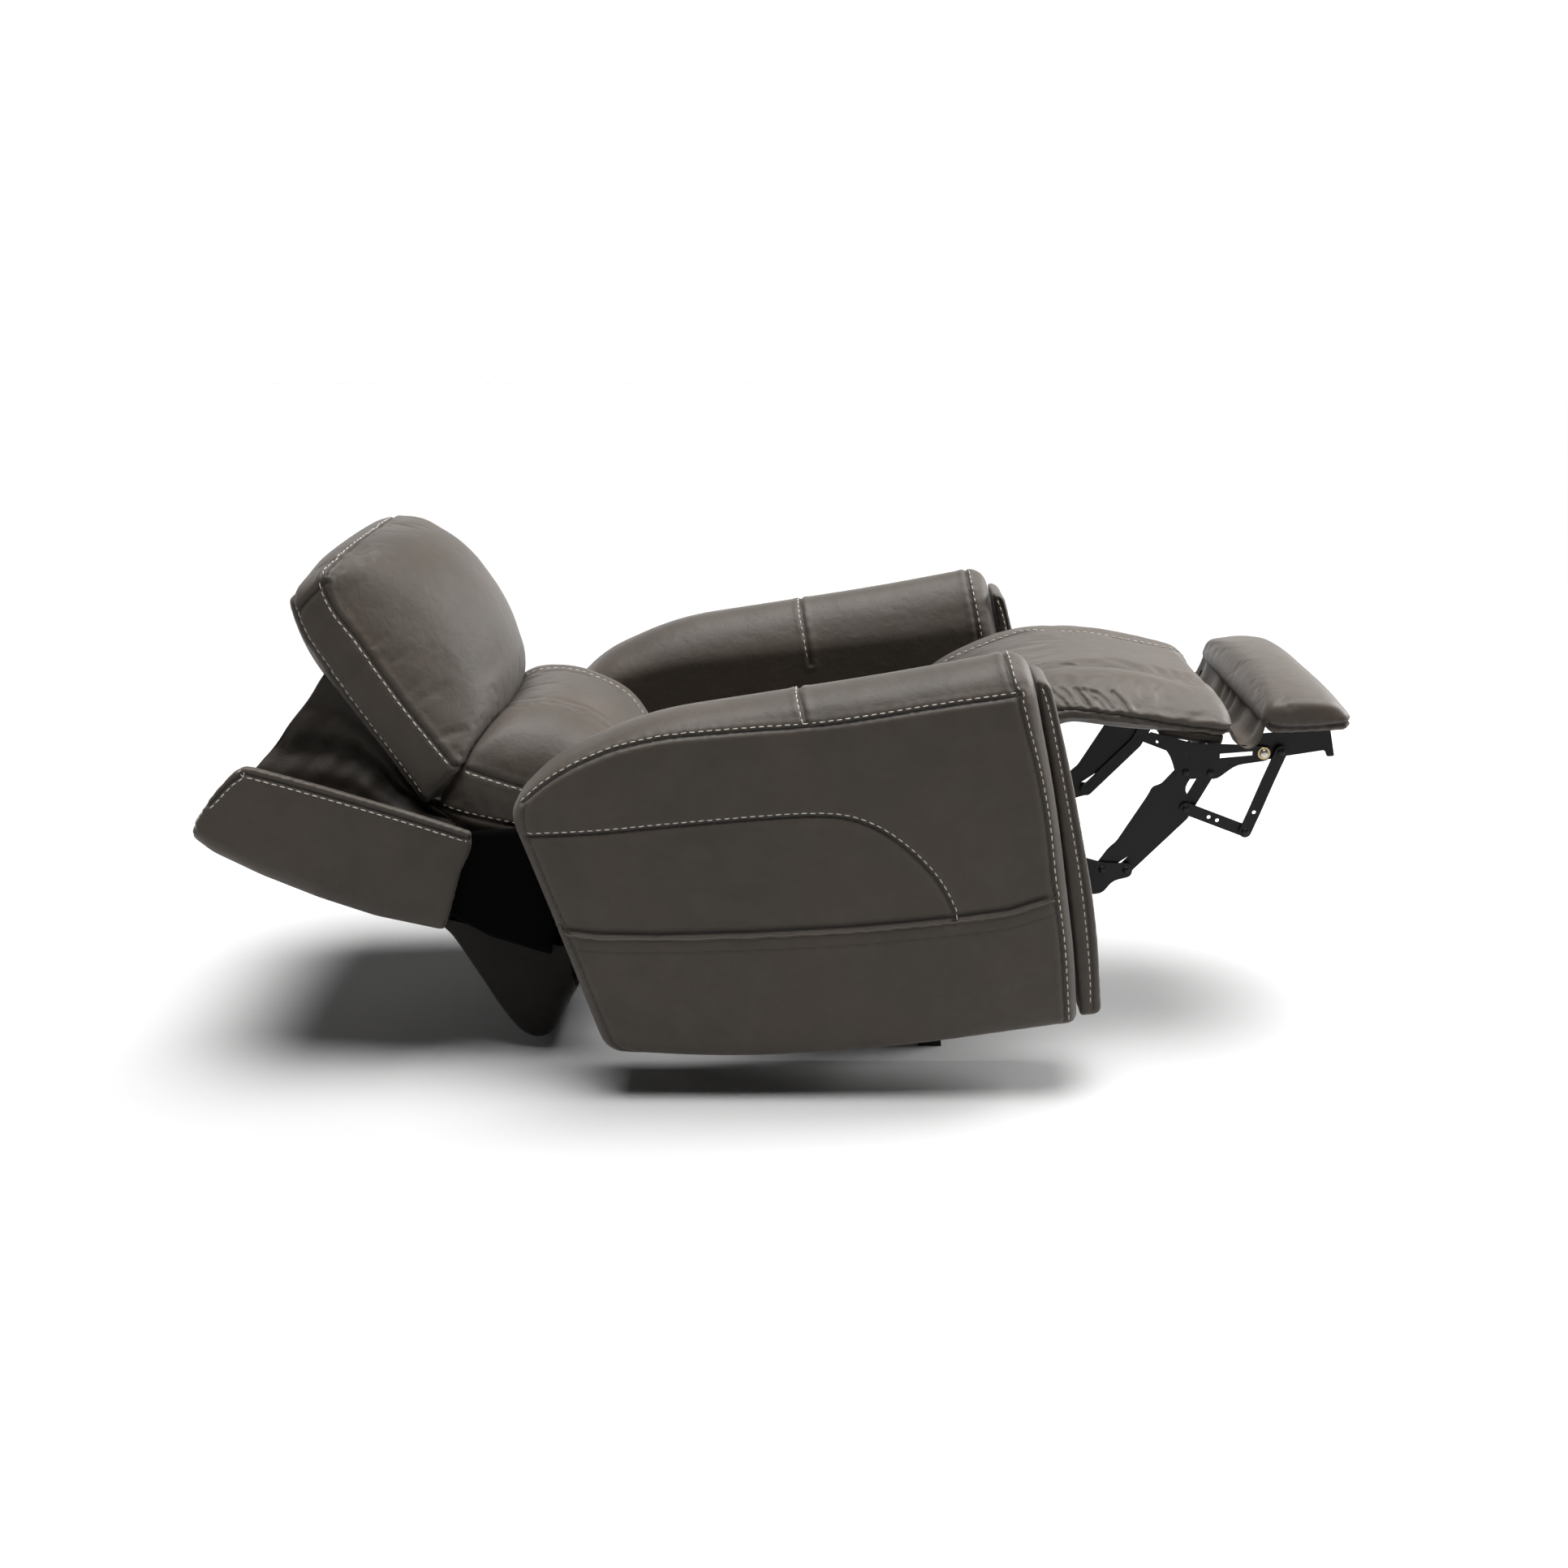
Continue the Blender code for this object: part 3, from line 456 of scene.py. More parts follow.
def mix(tree, factor, a, b):
    """The colour that is a where the factor is 0 and b where it is 1."""
    node = tree.nodes.new("ShaderNodeMix")
    node.data_type = "RGBA"
    for socket, value in ((node.inputs[0], factor), (node.inputs[6], a), (node.inputs[7], b)):
        if isinstance(value, (int, float, tuple)):
            socket.default_value = value
        else:
            tree.links.new(value, socket)
    return node.outputs[2]


def noise(tree, vector, scale, detail=3.0, roughness=0.5, distortion=0.0):
    node = add(tree, "ShaderNodeTexNoise", Scale=scale, Detail=detail)
    node.inputs["Roughness"].default_value = roughness
    node.inputs["Distortion"].default_value = distortion
    tree.links.new(vector, node.inputs["Vector"])
    return node.outputs["Fac"]


def bump(tree, height, strength, distance, before=None):
    node = add(tree, "ShaderNodeBump", Strength=strength, Distance=distance)
    tree.links.new(height, node.inputs["Height"])
    if before is not None:
        tree.links.new(before, node.inputs["Normal"])
    return node.outputs["Normal"]


def leather(name, base, warm, light, gloss):
    """Matte leather: cloudy colour, with painted shade in the seams, pale where it is pulled, with a fine
    pebbled grain.
    """
    made, tree, shader, where = nodes_of(name)
    cloud = noise(tree, where, 5.5, 5.0, 0.62, 0.7)
    patch = noise(tree, where, 19.0, 4.0, 0.6, 0.3)
    mottled = mix(tree, ramp(tree, cloud, 0.25, 0.80), base, warm)
    mottled = mix(tree, calculate(tree, "MULTIPLY", ramp(tree, patch, 0.42, 0.78), 0.20), mottled, light)
    wear = add(tree, "ShaderNodeAttribute", attribute_name="wear").outputs["Fac"]
    mottled = mix(tree, calculate(tree, "MULTIPLY", wear, 0.14), mottled, light)
    # The seam mark paints shade into the grooves, darkening the colour towards a sixth of the base.
    seam = add(tree, "ShaderNodeAttribute", attribute_name="seam").outputs["Fac"]
    painted_seam_shade = tuple(0.16 * c for c in base[:3]) + (1,)
    coloured = mix(tree, calculate(tree, "MULTIPLY", seam, 0.92), mottled, painted_seam_shade)
    tree.links.new(coloured, shader.inputs["Base Color"])
    cells = add(tree, "ShaderNodeTexVoronoi", feature="DISTANCE_TO_EDGE", Scale=620.0)
    warp = add(tree, "ShaderNodeTexNoise", Scale=260.0, Detail=2.0)
    tree.links.new(where, warp.inputs["Vector"])
    nudge = add(tree, "ShaderNodeVectorMath", operation="MULTIPLY_ADD")
    tree.links.new(warp.outputs["Color"], nudge.inputs[0])
    nudge.inputs[1].default_value = (0.0025, 0.0025, 0.0025)
    tree.links.new(where, nudge.inputs[2])
    tree.links.new(nudge.outputs[0], cells.inputs["Vector"])
    pebble = ramp(tree, cells.outputs["Distance"], 0.0, 0.25)
    micro = noise(tree, where, 900.0, 2.0)
    soft = noise(tree, where, 42.0, 4.0, 0.55, 0.4)
    normal = bump(tree, soft, 0.55, 0.0022)
    normal = bump(tree, pebble, 0.22, 0.00035, normal)
    normal = bump(tree, micro, 0.12, 0.0002, normal)
    tree.links.new(normal, shader.inputs["Normal"])
    rough = calculate(tree, "MULTIPLY_ADD", cloud, -0.16, 0.64)
    tree.links.new(rough, shader.inputs["Roughness"])
    shader.inputs["Specular IOR Level"].default_value = gloss
    shader.inputs["Sheen Weight"].default_value = 0.36 * gloss
    shader.inputs["Sheen Roughness"].default_value = 0.5
    return made


def thread():
    made, tree, shader, where = nodes_of("waxed_thread")
    shade = noise(tree, where, 140.0, 2.0)
    tone = mix(tree, shade, (0.34, 0.31, 0.27, 1), (0.56, 0.53, 0.48, 1))
    tree.links.new(tone, shader.inputs["Base Color"])
    twist = add(tree, "ShaderNodeTexWave", Scale=900.0, Distortion=1.0)
    twist.bands_direction = "DIAGONAL"
    tree.links.new(where, twist.inputs["Vector"])
    tree.links.new(bump(tree, twist.outputs["Fac"], 0.5, 0.0003), shader.inputs["Normal"])
    shader.inputs["Roughness"].default_value = 0.62
    return made


def metal(name, colour, other, roughness, metallic, speck=700.0, strength=0.25):
    """Coated or plated steel, a little uneven in colour and with a fine orange-peel surface."""
    made, tree, shader, where = nodes_of(name)
    drift = noise(tree, where, 16.0, 4.0, 0.6)
    fine = noise(tree, where, speck, 2.0)
    tree.links.new(mix(tree, ramp(tree, drift, 0.35, 0.7), colour, other), shader.inputs["Base Color"])
    rough = calculate(tree, "MULTIPLY_ADD", drift, 0.18, roughness - 0.09)
    tree.links.new(rough, shader.inputs["Roughness"])
    tree.links.new(bump(tree, fine, strength, 0.0002), shader.inputs["Normal"])
    shader.inputs["Metallic"].default_value = metallic
    shader.inputs["Specular IOR Level"].default_value = 0.25
    return made


def moulded(name, colour, other, roughness=0.5):
    made, tree, shader, where = nodes_of(name)
    drift = noise(tree, where, 30.0, 3.0)
    fine = add(tree, "ShaderNodeTexVoronoi", Scale=1300.0)
    tree.links.new(where, fine.inputs["Vector"])
    tree.links.new(mix(tree, drift, colour, other), shader.inputs["Base Color"])
    tree.links.new(bump(tree, fine.outputs["Distance"], 0.35, 0.0002), shader.inputs["Normal"])
    shader.inputs["Roughness"].default_value = roughness
    return made


def timber():
    made, tree, shader, where = nodes_of("plywood")
    stretch = add(tree, "ShaderNodeMapping")
    stretch.inputs["Scale"].default_value = (1.0, 9.0, 22.0)
    tree.links.new(where, stretch.inputs["Vector"])
    figure = noise(tree, stretch.outputs[0], 6.0, 6.0, 0.6, 1.4)
    pores = noise(tree, stretch.outputs[0], 60.0, 3.0, 0.7)
    tone = mix(tree, ramp(tree, figure, 0.3, 0.7), (0.32, 0.20, 0.10, 1), (0.52, 0.37, 0.21, 1))
    depth = calculate(tree, "MULTIPLY", ramp(tree, pores, 0.55, 0.75), 0.5)
    tone = mix(tree, depth, tone, (0.16, 0.09, 0.04, 1))
    tree.links.new(tone, shader.inputs["Base Color"])
    tree.links.new(bump(tree, pores, 0.3, 0.0004), shader.inputs["Normal"])
    shader.inputs["Roughness"].default_value = 0.68
    return made


def woven_black_painted_shade():
    """The thin black cloth of the lining under the back, made near black as painted shade for the cavity
    behind it.
    """
    made, tree, shader, where = nodes_of("dust_cloth")
    warp = add(tree, "ShaderNodeTexWave", Scale=260.0)
    warp.bands_direction = "X"
    weft = add(tree, "ShaderNodeTexWave", Scale=260.0)
    weft.bands_direction = "Y"
    tree.links.new(where, warp.inputs["Vector"])
    tree.links.new(where, weft.inputs["Vector"])
    weave = calculate(tree, "MULTIPLY", warp.outputs["Fac"], weft.outputs["Fac"])
    drift = noise(tree, where, 12.0, 4.0)
    # Near-black tone: black cloth darkened further as painted shade.
    tone = mix(tree, drift, (0.0010, 0.0010, 0.0010, 1), (0.0022, 0.0021, 0.0020, 1))
    tree.links.new(tone, shader.inputs["Base Color"])
    tree.links.new(bump(tree, weave, 0.4, 0.0004), shader.inputs["Normal"])
    shader.inputs["Roughness"].default_value = 0.95
    shader.inputs["Specular IOR Level"].default_value = 0.05
    return made


def floor_material():
    made, tree, shader, where = nodes_of("studio_floor")
    drift = noise(tree, where, 0.6, 2.0)
    tone = mix(tree, drift, (0.425, 0.425, 0.425, 1), (0.435, 0.435, 0.435, 1))
    tree.links.new(tone, shader.inputs["Base Color"])
    shader.inputs["Roughness"].default_value = 0.9
    shader.inputs["Specular IOR Level"].default_value = 0.1
    return made


def wear_material(obj, material, smooth=True):
    obj.data.materials.clear()
    obj.data.materials.append(material)
    if smooth:
        obj.data.shade_smooth()


def attach(obj, body, blended):
    """Rides a piece on one body, or, when it is given a bend between two, bakes its place into its mesh."""
    if blended:
        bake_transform(obj)
    else:
        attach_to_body(obj, body)


def upholster(obj, body, *nodes, blended=None, fill=None, material=None):
    """Finishes a soft piece: its material, slot, the nodes it stands for and what it rides on."""
    wear_material(obj, material or HIDE)
    if nodes:
        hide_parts(*nodes)
    attach(obj, body, blended)


def sewn(key, name, body, blended=None):
    """The stitches kept under a key, as a piece."""
    verts, faces = STITCHES[key]
    obj = new_object(name, verts, faces)
    wear_material(obj, THREAD)
    attach(obj, body, blended)


# ---------------------------------------------------------------- the arms


ARM_TOP = [
    (-0.515, 0.578), (-0.458, 0.607), (-0.373, 0.638), (-0.315, 0.645), (-0.257, 0.647), (-0.145, 0.641),
    (-0.054, 0.635), (0.026, 0.636), (0.140, 0.642), (0.264, 0.645),
]
ARM_FRONT = [
    (0.250, 0.690), (0.257, 0.668), (0.264, 0.645), (0.271, 0.592), (0.283, 0.520),
    (0.291, 0.436), (0.292, 0.329), (0.296, 0.241), (0.294, 0.157), (0.291, 0.093),
]
ARM_CURVE = [
    (-0.508, 0.506), (-0.397, 0.498), (-0.279, 0.495), (-0.161, 0.491), (-0.073, 0.486), (-0.016, 0.476),
    (0.029, 0.454), (0.067, 0.421), (0.098, 0.383), (0.118, 0.349), (0.132, 0.310), (0.133, 0.297),
]
ARM_REAR = [
    (-0.504, 0.560), (-0.507, 0.520), (-0.499, 0.470), (-0.486, 0.410), (-0.470, 0.345), (-0.453, 0.270),
    (-0.438, 0.200), (-0.424, 0.140), (-0.400, 0.112),
]
POCKET = [
    (-0.490, 0.351), (-0.423, 0.334), (-0.334, 0.321), (-0.185, 0.307), (-0.037, 0.297), (0.053, 0.294),
    (0.143, 0.293), (0.220, 0.295), (0.293, 0.310),
]


def arm_outlines():
    low = [(-0.440, 0.131, 0.030), (-0.484, 0.345, 0.080), (-0.530, 0.548, 0.030)]
    front = [
        (0.310, 0.460, 0.080), (0.3165, 0.200, 0.080), (0.311, 0.090, 0.012),
        (0.030, 0.081, 0.100), (-0.230, 0.094, 0.100),
    ]
    face = [(-0.440, 0.610, 0.090), (-0.310, 0.640, 0.090), (0.100, 0.636, 0.100), (0.292, 0.642, 0.030)]
    crown = [(-0.452, 0.612, 0.090), (-0.300, 0.662, 0.090), (0.090, 0.676, 0.100), (0.290, 0.690, 0.040)]
    return rounded(low + face + front), rounded(low + crown + front)


def pocket_edge(obj, side):
    """The side pocket: below its edge the panel stands proud, and above the edge it dips in behind, with
    painted shade in the dip.
    """
    co = coordinates(obj)
    centre = np.array([place("chassis", x, 0, z) for x, z in POCKET])
    edge_z = np.interp(co[:, 0], centre[:, 0], centre[:, 2])
    outer = np.clip((side * co[:, 1] - 0.418) / 0.012, 0, 1)
    above = co[:, 2] - edge_z
    across = np.clip((co[:, 0] - centre[0, 0]) / 0.03, 0, 1)
    across = across * np.clip((centre[-1, 0] - co[:, 0]) / 0.02, 0, 1)
    below = np.clip(-above / 0.008, 0, 1)
    proud = 0.0026 * below * below * (3 - 2 * below) * np.clip((co[:, 2] - 0.11) / 0.05, 0, 1)
    gap = -0.0040 * np.exp(-(((above - 0.004) / 0.005) ** 2)) * across
    co[:, 1] += side * outer * (proud + gap)
    set_coordinates(obj, co)
    # Painted shade in the dip above the pocket's edge.
    mark(obj, "seam", 0.95 * np.exp(-(((above - 0.0032) / 0.0026) ** 2)) * outer * across)


def arm_over(x, side):
    """A line over the arm's top, across the chair at a chassis x, from the outer face to the inner."""
    return [
        place("chassis", x + dx, side * y, z)
        for dx, y, z in (
            (0.006, 0.446, 0.630), (0.003, 0.440, 0.655), (0.0, 0.418, 0.680), (-0.001, 0.385, 0.695),
            (-0.001, 0.340, 0.690), (0.0, 0.305, 0.660), (0.003, 0.284, 0.620), (0.006, 0.277, 0.560),
        )
    ]


def pocket_lip(arm, letter, outer):
    """The rolled edge of the side pocket."""
    on, up = lie_on(surface_of(arm), [place("chassis", x, outer, z - 0.0015) for x, z in POCKET], 0.004)
    lip = tube("pocket_lip_" + letter, on + up * 0.0002, 0.0020, 10)
    upholster(lip, "chassis")


def slope_inner_shoulder(arm, side):
    """Lets the padded top fall away towards the seat."""
    co = coordinates(arm)
    local = to_local("chassis", co)
    inward = np.clip((0.372 - side * local[:, 1]) / 0.092, 0, 1)
    high = np.clip((local[:, 2] - 0.520) / 0.130, 0, 1)
    co[:, 2] -= 0.040 * inward**2 * high
    set_coordinates(arm, co)


def build_arm(letter, side):
    face, crown = arm_outlines()
    middle, half = side * (ARM_OUTER + ARM_INNER) / 2, (ARM_OUTER - ARM_INNER) / 2
    name = "arm_" + letter
    arm = remeshed(loft(name, "chassis", face, crown, half - 0.001, middle, 2.4, 0.024), 0.0055)
    slope_inner_shoulder(arm, side)
    subdivided(arm)
    outer = side * (ARM_OUTER + 0.01)
    turn = -side
    top = [place("chassis", x, outer, z - 0.006) for x, z in ARM_TOP]
    front = [place("chassis", x, outer, z) for x, z in ARM_FRONT[2:]]
    front = arm_over(0.256, side)[:0:-1] + front
    curve = [place("chassis", x, outer, z) for x, z in ARM_CURVE]
    over = arm_over(-0.062, side)
    pocket_edge(arm, side)
    pocket_lip(arm, letter, outer)
    seams(arm, "chassis", [top, curve], (0.0055 * turn,))
    seams(arm, "chassis", [front], (0.0060 * turn,))
    seams(arm, "chassis", [over], (-0.0055 * side,), pucker=0.0003)
    rear = [place("chassis", x, outer, z) for x, z in ARM_REAR]
    seams(arm, "chassis", [rear], (), depth=0.0020, width=0.0018, puff=0.0005, pucker=0.0002)
    hem = [place("chassis", x, outer, z - 0.027) for x, z in POCKET]
    on, _ = lie_on(surface_of(arm), hem)
    mark_line(arm, [on], 0.0016, 0.55)
    upholster(arm, "chassis", "arm_cover_" + letter, "arm_core_" + letter)
    facing(letter, side)


def mark_line(obj, lines, width, strength):
    """A faint line pressed into the leather, with painted shade along it."""
    distance, _ = seam_field(obj, lines, 0.012)
    weight = np.where(distance < 0.012, np.exp(-((distance / width) ** 2)), 0)
    set_coordinates(obj, coordinates(obj) - normals(obj) * (0.0010 * strength * weight)[:, None])
    mark(obj, "seam", weight * strength)


FACING = [
    (0.296, 0.652, 0.010), (0.318, 0.640, 0.030), (0.337, 0.500, 0.100), (0.357, 0.260, 0.150),
    (0.352, 0.094, 0.012), (0.3175, 0.092, 0.004), (0.3175, 0.300, 0.050), (0.3115, 0.460, 0.050),
    (0.3000, 0.600, 0.010),
]
FACING_EDGE = [
    (0.306, 0.655), (0.322, 0.637), (0.331, 0.596), (0.338, 0.520), (0.346, 0.430),
    (0.353, 0.330), (0.3555, 0.240), (0.3550, 0.160), (0.351, 0.104), (0.342, 0.094),
]


def facing(letter, side):
    """The padded strip that closes the arm's front, with a stitched seam along each edge."""
    outline = rounded(FACING)
    whole = loft("arm_front_" + letter, "chassis", outline, outline, 0.058, side * 0.358, 3, 0.007)
    piece = remeshed(whole, 0.0035, 4)
    subdivided(piece)
    for y, turn in ((0.424, side), (0.292, -side)):
        line = [place("chassis", x - 0.0125, side * y, z) for x, z in FACING_EDGE[1:-1]]
        shape = {"depth": 0.0024, "width": 0.0024, "puff": 0.0006, "pucker": 0.0002}
        seams(piece, "chassis", [line], (0.0045 * turn,), **shape)
    upholster(piece, "chassis", "arm_facing_" + letter)


# ---------------------------------------------------------------- seat, chaise and flipper


def build_seat():
    side = rounded([(-0.225, 0.395, 0.02), (-0.225, 0.475, 0.03), (0.285, 0.483, 0.03), (0.285, 0.395, 0.02)])
    middle = rounded(
        [(-0.225, 0.392, 0.02), (-0.225, 0.484, 0.03), (0.288, 0.491, 0.03), (0.288, 0.392, 0.02)]
    )
    seat = remeshed(loft("seat", "chassis", side, middle, SEAT_HALF - 0.004, 0, 3, 0.03), 0.007, 6)
    held = np.clip((0.47 - coordinates(seat)[:, 2]) / 0.03, 0, 1)
    inflate(seat, held, pressure=3.0, cap=0.008)
    subdivided(seat)
    edge = [[place("chassis", x, y, 0.478) for x in (-0.21, -0.05, 0.1, 0.27)] for y in (-0.275, 0.275)]
    seams(seat, "chassis", edge, ())
    upholster(seat, "chassis", "seat_cushion", fill=0.7)


def raise_bolsters(pad):
    """Lets the two side rolls stand a little above the middle panel where they meet it."""
    lift = 0.0012
    co = coordinates(pad)
    beyond = np.abs(co[:, 1]) - ROLL_SEAM
    share = np.clip(beyond / 0.004, 0, 1) * np.exp(-((np.maximum(beyond, 0) / 0.050) ** 2))
    set_coordinates(pad, co + normals(pad) * (lift * share)[:, None])


def knee(points):
    """Points of the footrest's own frame, in the row frame."""
    return [(KNEE_X + x, KNEE_Z + z) for x, z in points]


CHAISE_LINE = [
    (-0.196, 0.008), (-0.146, 0.036), (-0.087, 0.063), (-0.032, 0.083), (0.024, 0.094), (0.061, 0.094),
    (0.116, 0.087), (0.173, 0.077), (0.204, 0.072), (0.280, 0.054), (0.300, 0.030), (0.308, 0.006),
]
CHAISE_BOXING = [
    (-0.160, 0.008), (-0.090, 0.028), (0.013, 0.049), (0.063, 0.046),
    (0.139, 0.034), (0.203, 0.022), (0.296, 0.010),
]
CHAISE_BEND = ("chassis", "ottoman", (0.350, 0, 0.60), (0.520, 0, 0.60))


def chaise_gathers(inner=0.232, outer=0.268, count=7, pitch=0.0205):
    """Folds that run from the bolsters down to the boxing seams where the pad bends over the knee."""
    lines = []
    stations = [0.44, 0.50, 0.60, 0.70]
    for side in (-1, 1):
        for i in range(count):
            x = 0.440 + pitch * i + 0.004 * sin(2.3 * i + side)
            top = np.interp(x, stations, [0.640, 0.642, 0.624, 0.604])
            seam = np.interp(x, stations, [0.614, 0.612, 0.598, 0.582])
            lean = 0.024 + 0.006 * sin(1.7 * i)
            reach = outer - (outer - inner) * (0.6 + 0.4 * sin(2.9 * i + 1) ** 2)
            between = (x - 0.4 * lean, side * (outer - 0.012), 0.5 * (top + seam))
            lines.append([(x - lean, side * reach, top), between, (x, side * outer, seam)])
    return lines


def mapped(body, corners):
    """Rounded corners of a body's own frame, in the row frame."""
    spots = [place(body, x, 0, z) for x, z, _ in corners]
    return [(spot[0], spot[2], radius) for spot, (_, _, radius) in zip(spots, corners)]


def chaise_outlines():
    side_seat = [(0.300, 0.505, 0.01), (0.120, 0.503, 0.01), (0.180, 0.527, 0.03), (0.270, 0.552, 0.04)]
    side_top = [(0.017, 0.056, 0.04), (0.130, 0.046, 0.05), (0.298, 0.020, 0.02), (0.302, 0.002, 0.01)]
    side_under = [(0.150, 0.020, 0.05), (0.025, 0.034, 0.03)]
    middle_seat = [(0.300, 0.503, 0.01), (0.105, 0.503, 0.01), (0.180, 0.560, 0.05), (0.270, 0.592, 0.05)]
    middle_top = [(0.017, 0.088, 0.05), (0.110, 0.090, 0.06), (0.292, 0.054, 0.03), (0.300, 0.002, 0.015)]
    middle_under = [(0.150, -0.004, 0.05), (0.030, 0.014, 0.03)]
    side = rounded(mapped("chassis", side_seat) + mapped("ottoman", side_top + side_under))
    middle = rounded(mapped("chassis", middle_seat) + mapped("ottoman", middle_top + middle_under))
    return side, middle


def build_chaise():
    """The footrest's long pad, which runs on over the seat's front edge."""
    side, middle = chaise_outlines()
    chaise = remeshed(loft("chaise", "world", side, middle, SEAT_HALF - 0.003, 0, 7.0, 0.024), 0.0055, 6)
    lengthwise = [[(x, y, z + 0.004) for x, z in knee(CHAISE_LINE)] for y in (-ROLL_SEAM, ROLL_SEAM)]
    boxing = [[(x, y, z) for x, z in knee(CHAISE_BOXING)] for y in (-0.274, 0.274)]
    co = coordinates(chaise)
    base = np.interp(co[:, 0], [0.22, 0.40, 0.46, 0.60, 0.75], [0.530, 0.548, 0.598, 0.580, 0.560])
    under = np.clip((base - co[:, 2]) / 0.006, 0, 1)
    held = np.maximum(near_lines(chaise, lengthwise + boxing, 0.012), under)
    inflate(chaise, held, pressure=2.5, cap=0.007, grow=0.012)
    subdivided(chaise)
    raise_bolsters(chaise)
    near_seam, far_seam = lengthwise
    # The seams' marks paint shade along the grooves; the near seam's wide band keeps it visible.
    seams(chaise, "chaise", [near_seam], (), depth=0.0050, width=0.0058, puff=0.0012, pucker=0.0002)
    seams(chaise, "chaise", [far_seam], (0.0052,), depth=0.0034, width=0.0040, puff=0.0008, pucker=0.0002)
    seams(chaise, "chaise", boxing, (), depth=0.0040, width=0.0026, pucker=0.0003)
    tree = surface_of(chaise)
    crease(chaise, [lie_on(tree, line)[0] for line in chaise_gathers()], 0.0022, 0.0042)
    long_folds = [lie_on(tree, line)[0] for line in chaise_gathers(0.200, 0.262, 3, 0.055)]
    crease(chaise, long_folds, 0.0016, 0.0100)
    nodes = ("chaise_pad_rear", "chaise_pad_front", "ottoman_board")
    upholster(chaise, None, *nodes, blended=CHAISE_BEND, fill=0.7)


def build_underboard():
    """The leather-covered board under the chaise's front end."""
    outline = rounded(
        [(0.180, 0.014, 0.006), (0.291, -0.003, 0.006), (0.289, -0.024, 0.006), (0.186, -0.008, 0.006)]
    )
    board = remeshed(loft("chaise_underboard", "ottoman", outline, outline, 0.232, 0, 3, 0.006), 0.0040, 3)
    middle = knee(((0.192, 0.004), (0.240, -0.004), (0.284, -0.012)))
    ends = [[(x, y, z) for x, z in middle] for y in (-0.236, 0.236)]
    seams(board, "ottoman", ends, (), depth=0.0012, width=0.0016, puff=0.0003, pucker=0.0002)
    upholster(board, "ottoman")


def build_flipper():
    side = rounded(
        [
            (0.008, 0.034, 0.006), (-0.009, 0.054, 0.012), (-0.002, 0.084, 0.020), (0.060, 0.092, 0.050),
            (0.112, 0.086, 0.030), (0.138, 0.058, 0.008), (0.128, 0.040, 0.006),
        ]
    )
    middle = rounded(
        [
            (0.008, 0.034, 0.006), (-0.011, 0.058, 0.015), (-0.002, 0.098, 0.030), (0.060, 0.108, 0.050),
            (0.114, 0.098, 0.040), (0.141, 0.060, 0.012), (0.130, 0.040, 0.008),
        ]
    )
    pad = remeshed(loft("flipper_cushion", "flipper", side, middle, 0.260, 0, 3, 0.016), 0.0050, 5)
    rim = ((-0.008, 0.050), (0.06, 0.046), (0.140, 0.055))
    ends = [[(FLIPPER_X + x, y, FLIPPER_Z + z) for x, z in rim] for y in (-0.262, 0.262)]
    front = [[(FLIPPER_X + 0.143, y, FLIPPER_Z + 0.056) for y in (-0.255, -0.1, 0.1, 0.255)]]
    under = np.clip((FLIPPER_Z + 0.046 - coordinates(pad)[:, 2]) / 0.006, 0, 1)
    held = np.maximum(near_lines(pad, ends + front, 0.010), under)
    inflate(pad, held, pressure=3.0, cap=0.006)
    subdivided(pad)
    seams(pad, "flipper", ends + front, (), pucker=0.0007)
    upholster(pad, "flipper", "flipper_pad", "flipper_board", fill=0.8)


def sheet_between(name, rows, thickness):
    """A thin sheet through rows of points, with half its thickness on each side."""
    count = len(rows[0])
    verts = [p for row in rows for p in row]
    faces = [
        (i * count + j, i * count + j + 1, (i + 1) * count + j + 1, (i + 1) * count + j)
        for i in range(len(rows) - 1)
        for j in range(count - 1)
    ]
    obj = new_object(name, verts, faces)
    step = obj.modifiers.new("thick", "SOLIDIFY")
    step.thickness = thickness
    step.offset = 0
    return apply_modifiers(obj)


def build_bridge():
    """The slack strip that joins the chaise's end to the flipper pad."""
    hanging = [
        (0.728, 0, 0.580), (0.738, 0, 0.556), (0.748, 0, 0.540), (0.762, 0, 0.534), (0.776, 0, 0.542),
        (0.785, 0, 0.562), (0.792, 0, 0.590),
    ]
    profile = spline(hanging, 0.0035)
    rows = []
    for i, (x, _, z) in enumerate(profile):
        slack = sin(pi * i / (len(profile) - 1))
        row = []
        for y in np.linspace(-0.250, 0.250, 121):
            sway = 0.0035 * sin(y * 95 + 2 * sin(y * 23))
            dip = 0.0050 * sin(y * 62 + 3.0 * sin(y * 17)) - 0.001 * cos(y * 6)
            row.append((x + slack * sway, y, z + slack * dip))
        rows.append(row)
    strip = sheet_between("bridge_strip", rows, 0.0016)
    upholster(strip, None, blended=("ottoman", "flipper", (0.735, 0, 0.550), (0.785, 0, 0.560)))


# ---------------------------------------------------------------- back, shell and headrest


def side_lines(body, half, points):
    """The same line on a piece's near side and on its far side."""
    return [[place(body, x, y, z) for x, z in points] for y in (-half, half)]


LUMBAR_FRONT = [
    (0.062, 0.282), (0.058, 0.240), (0.055, 0.195), (0.054, 0.150), (0.056, 0.080), (0.050, 0.020),
]
LUMBAR_REAR = [(-0.019, 0.306), (-0.017, 0.250), (-0.015, 0.188), (-0.010, 0.120), (-0.008, 0.040)]


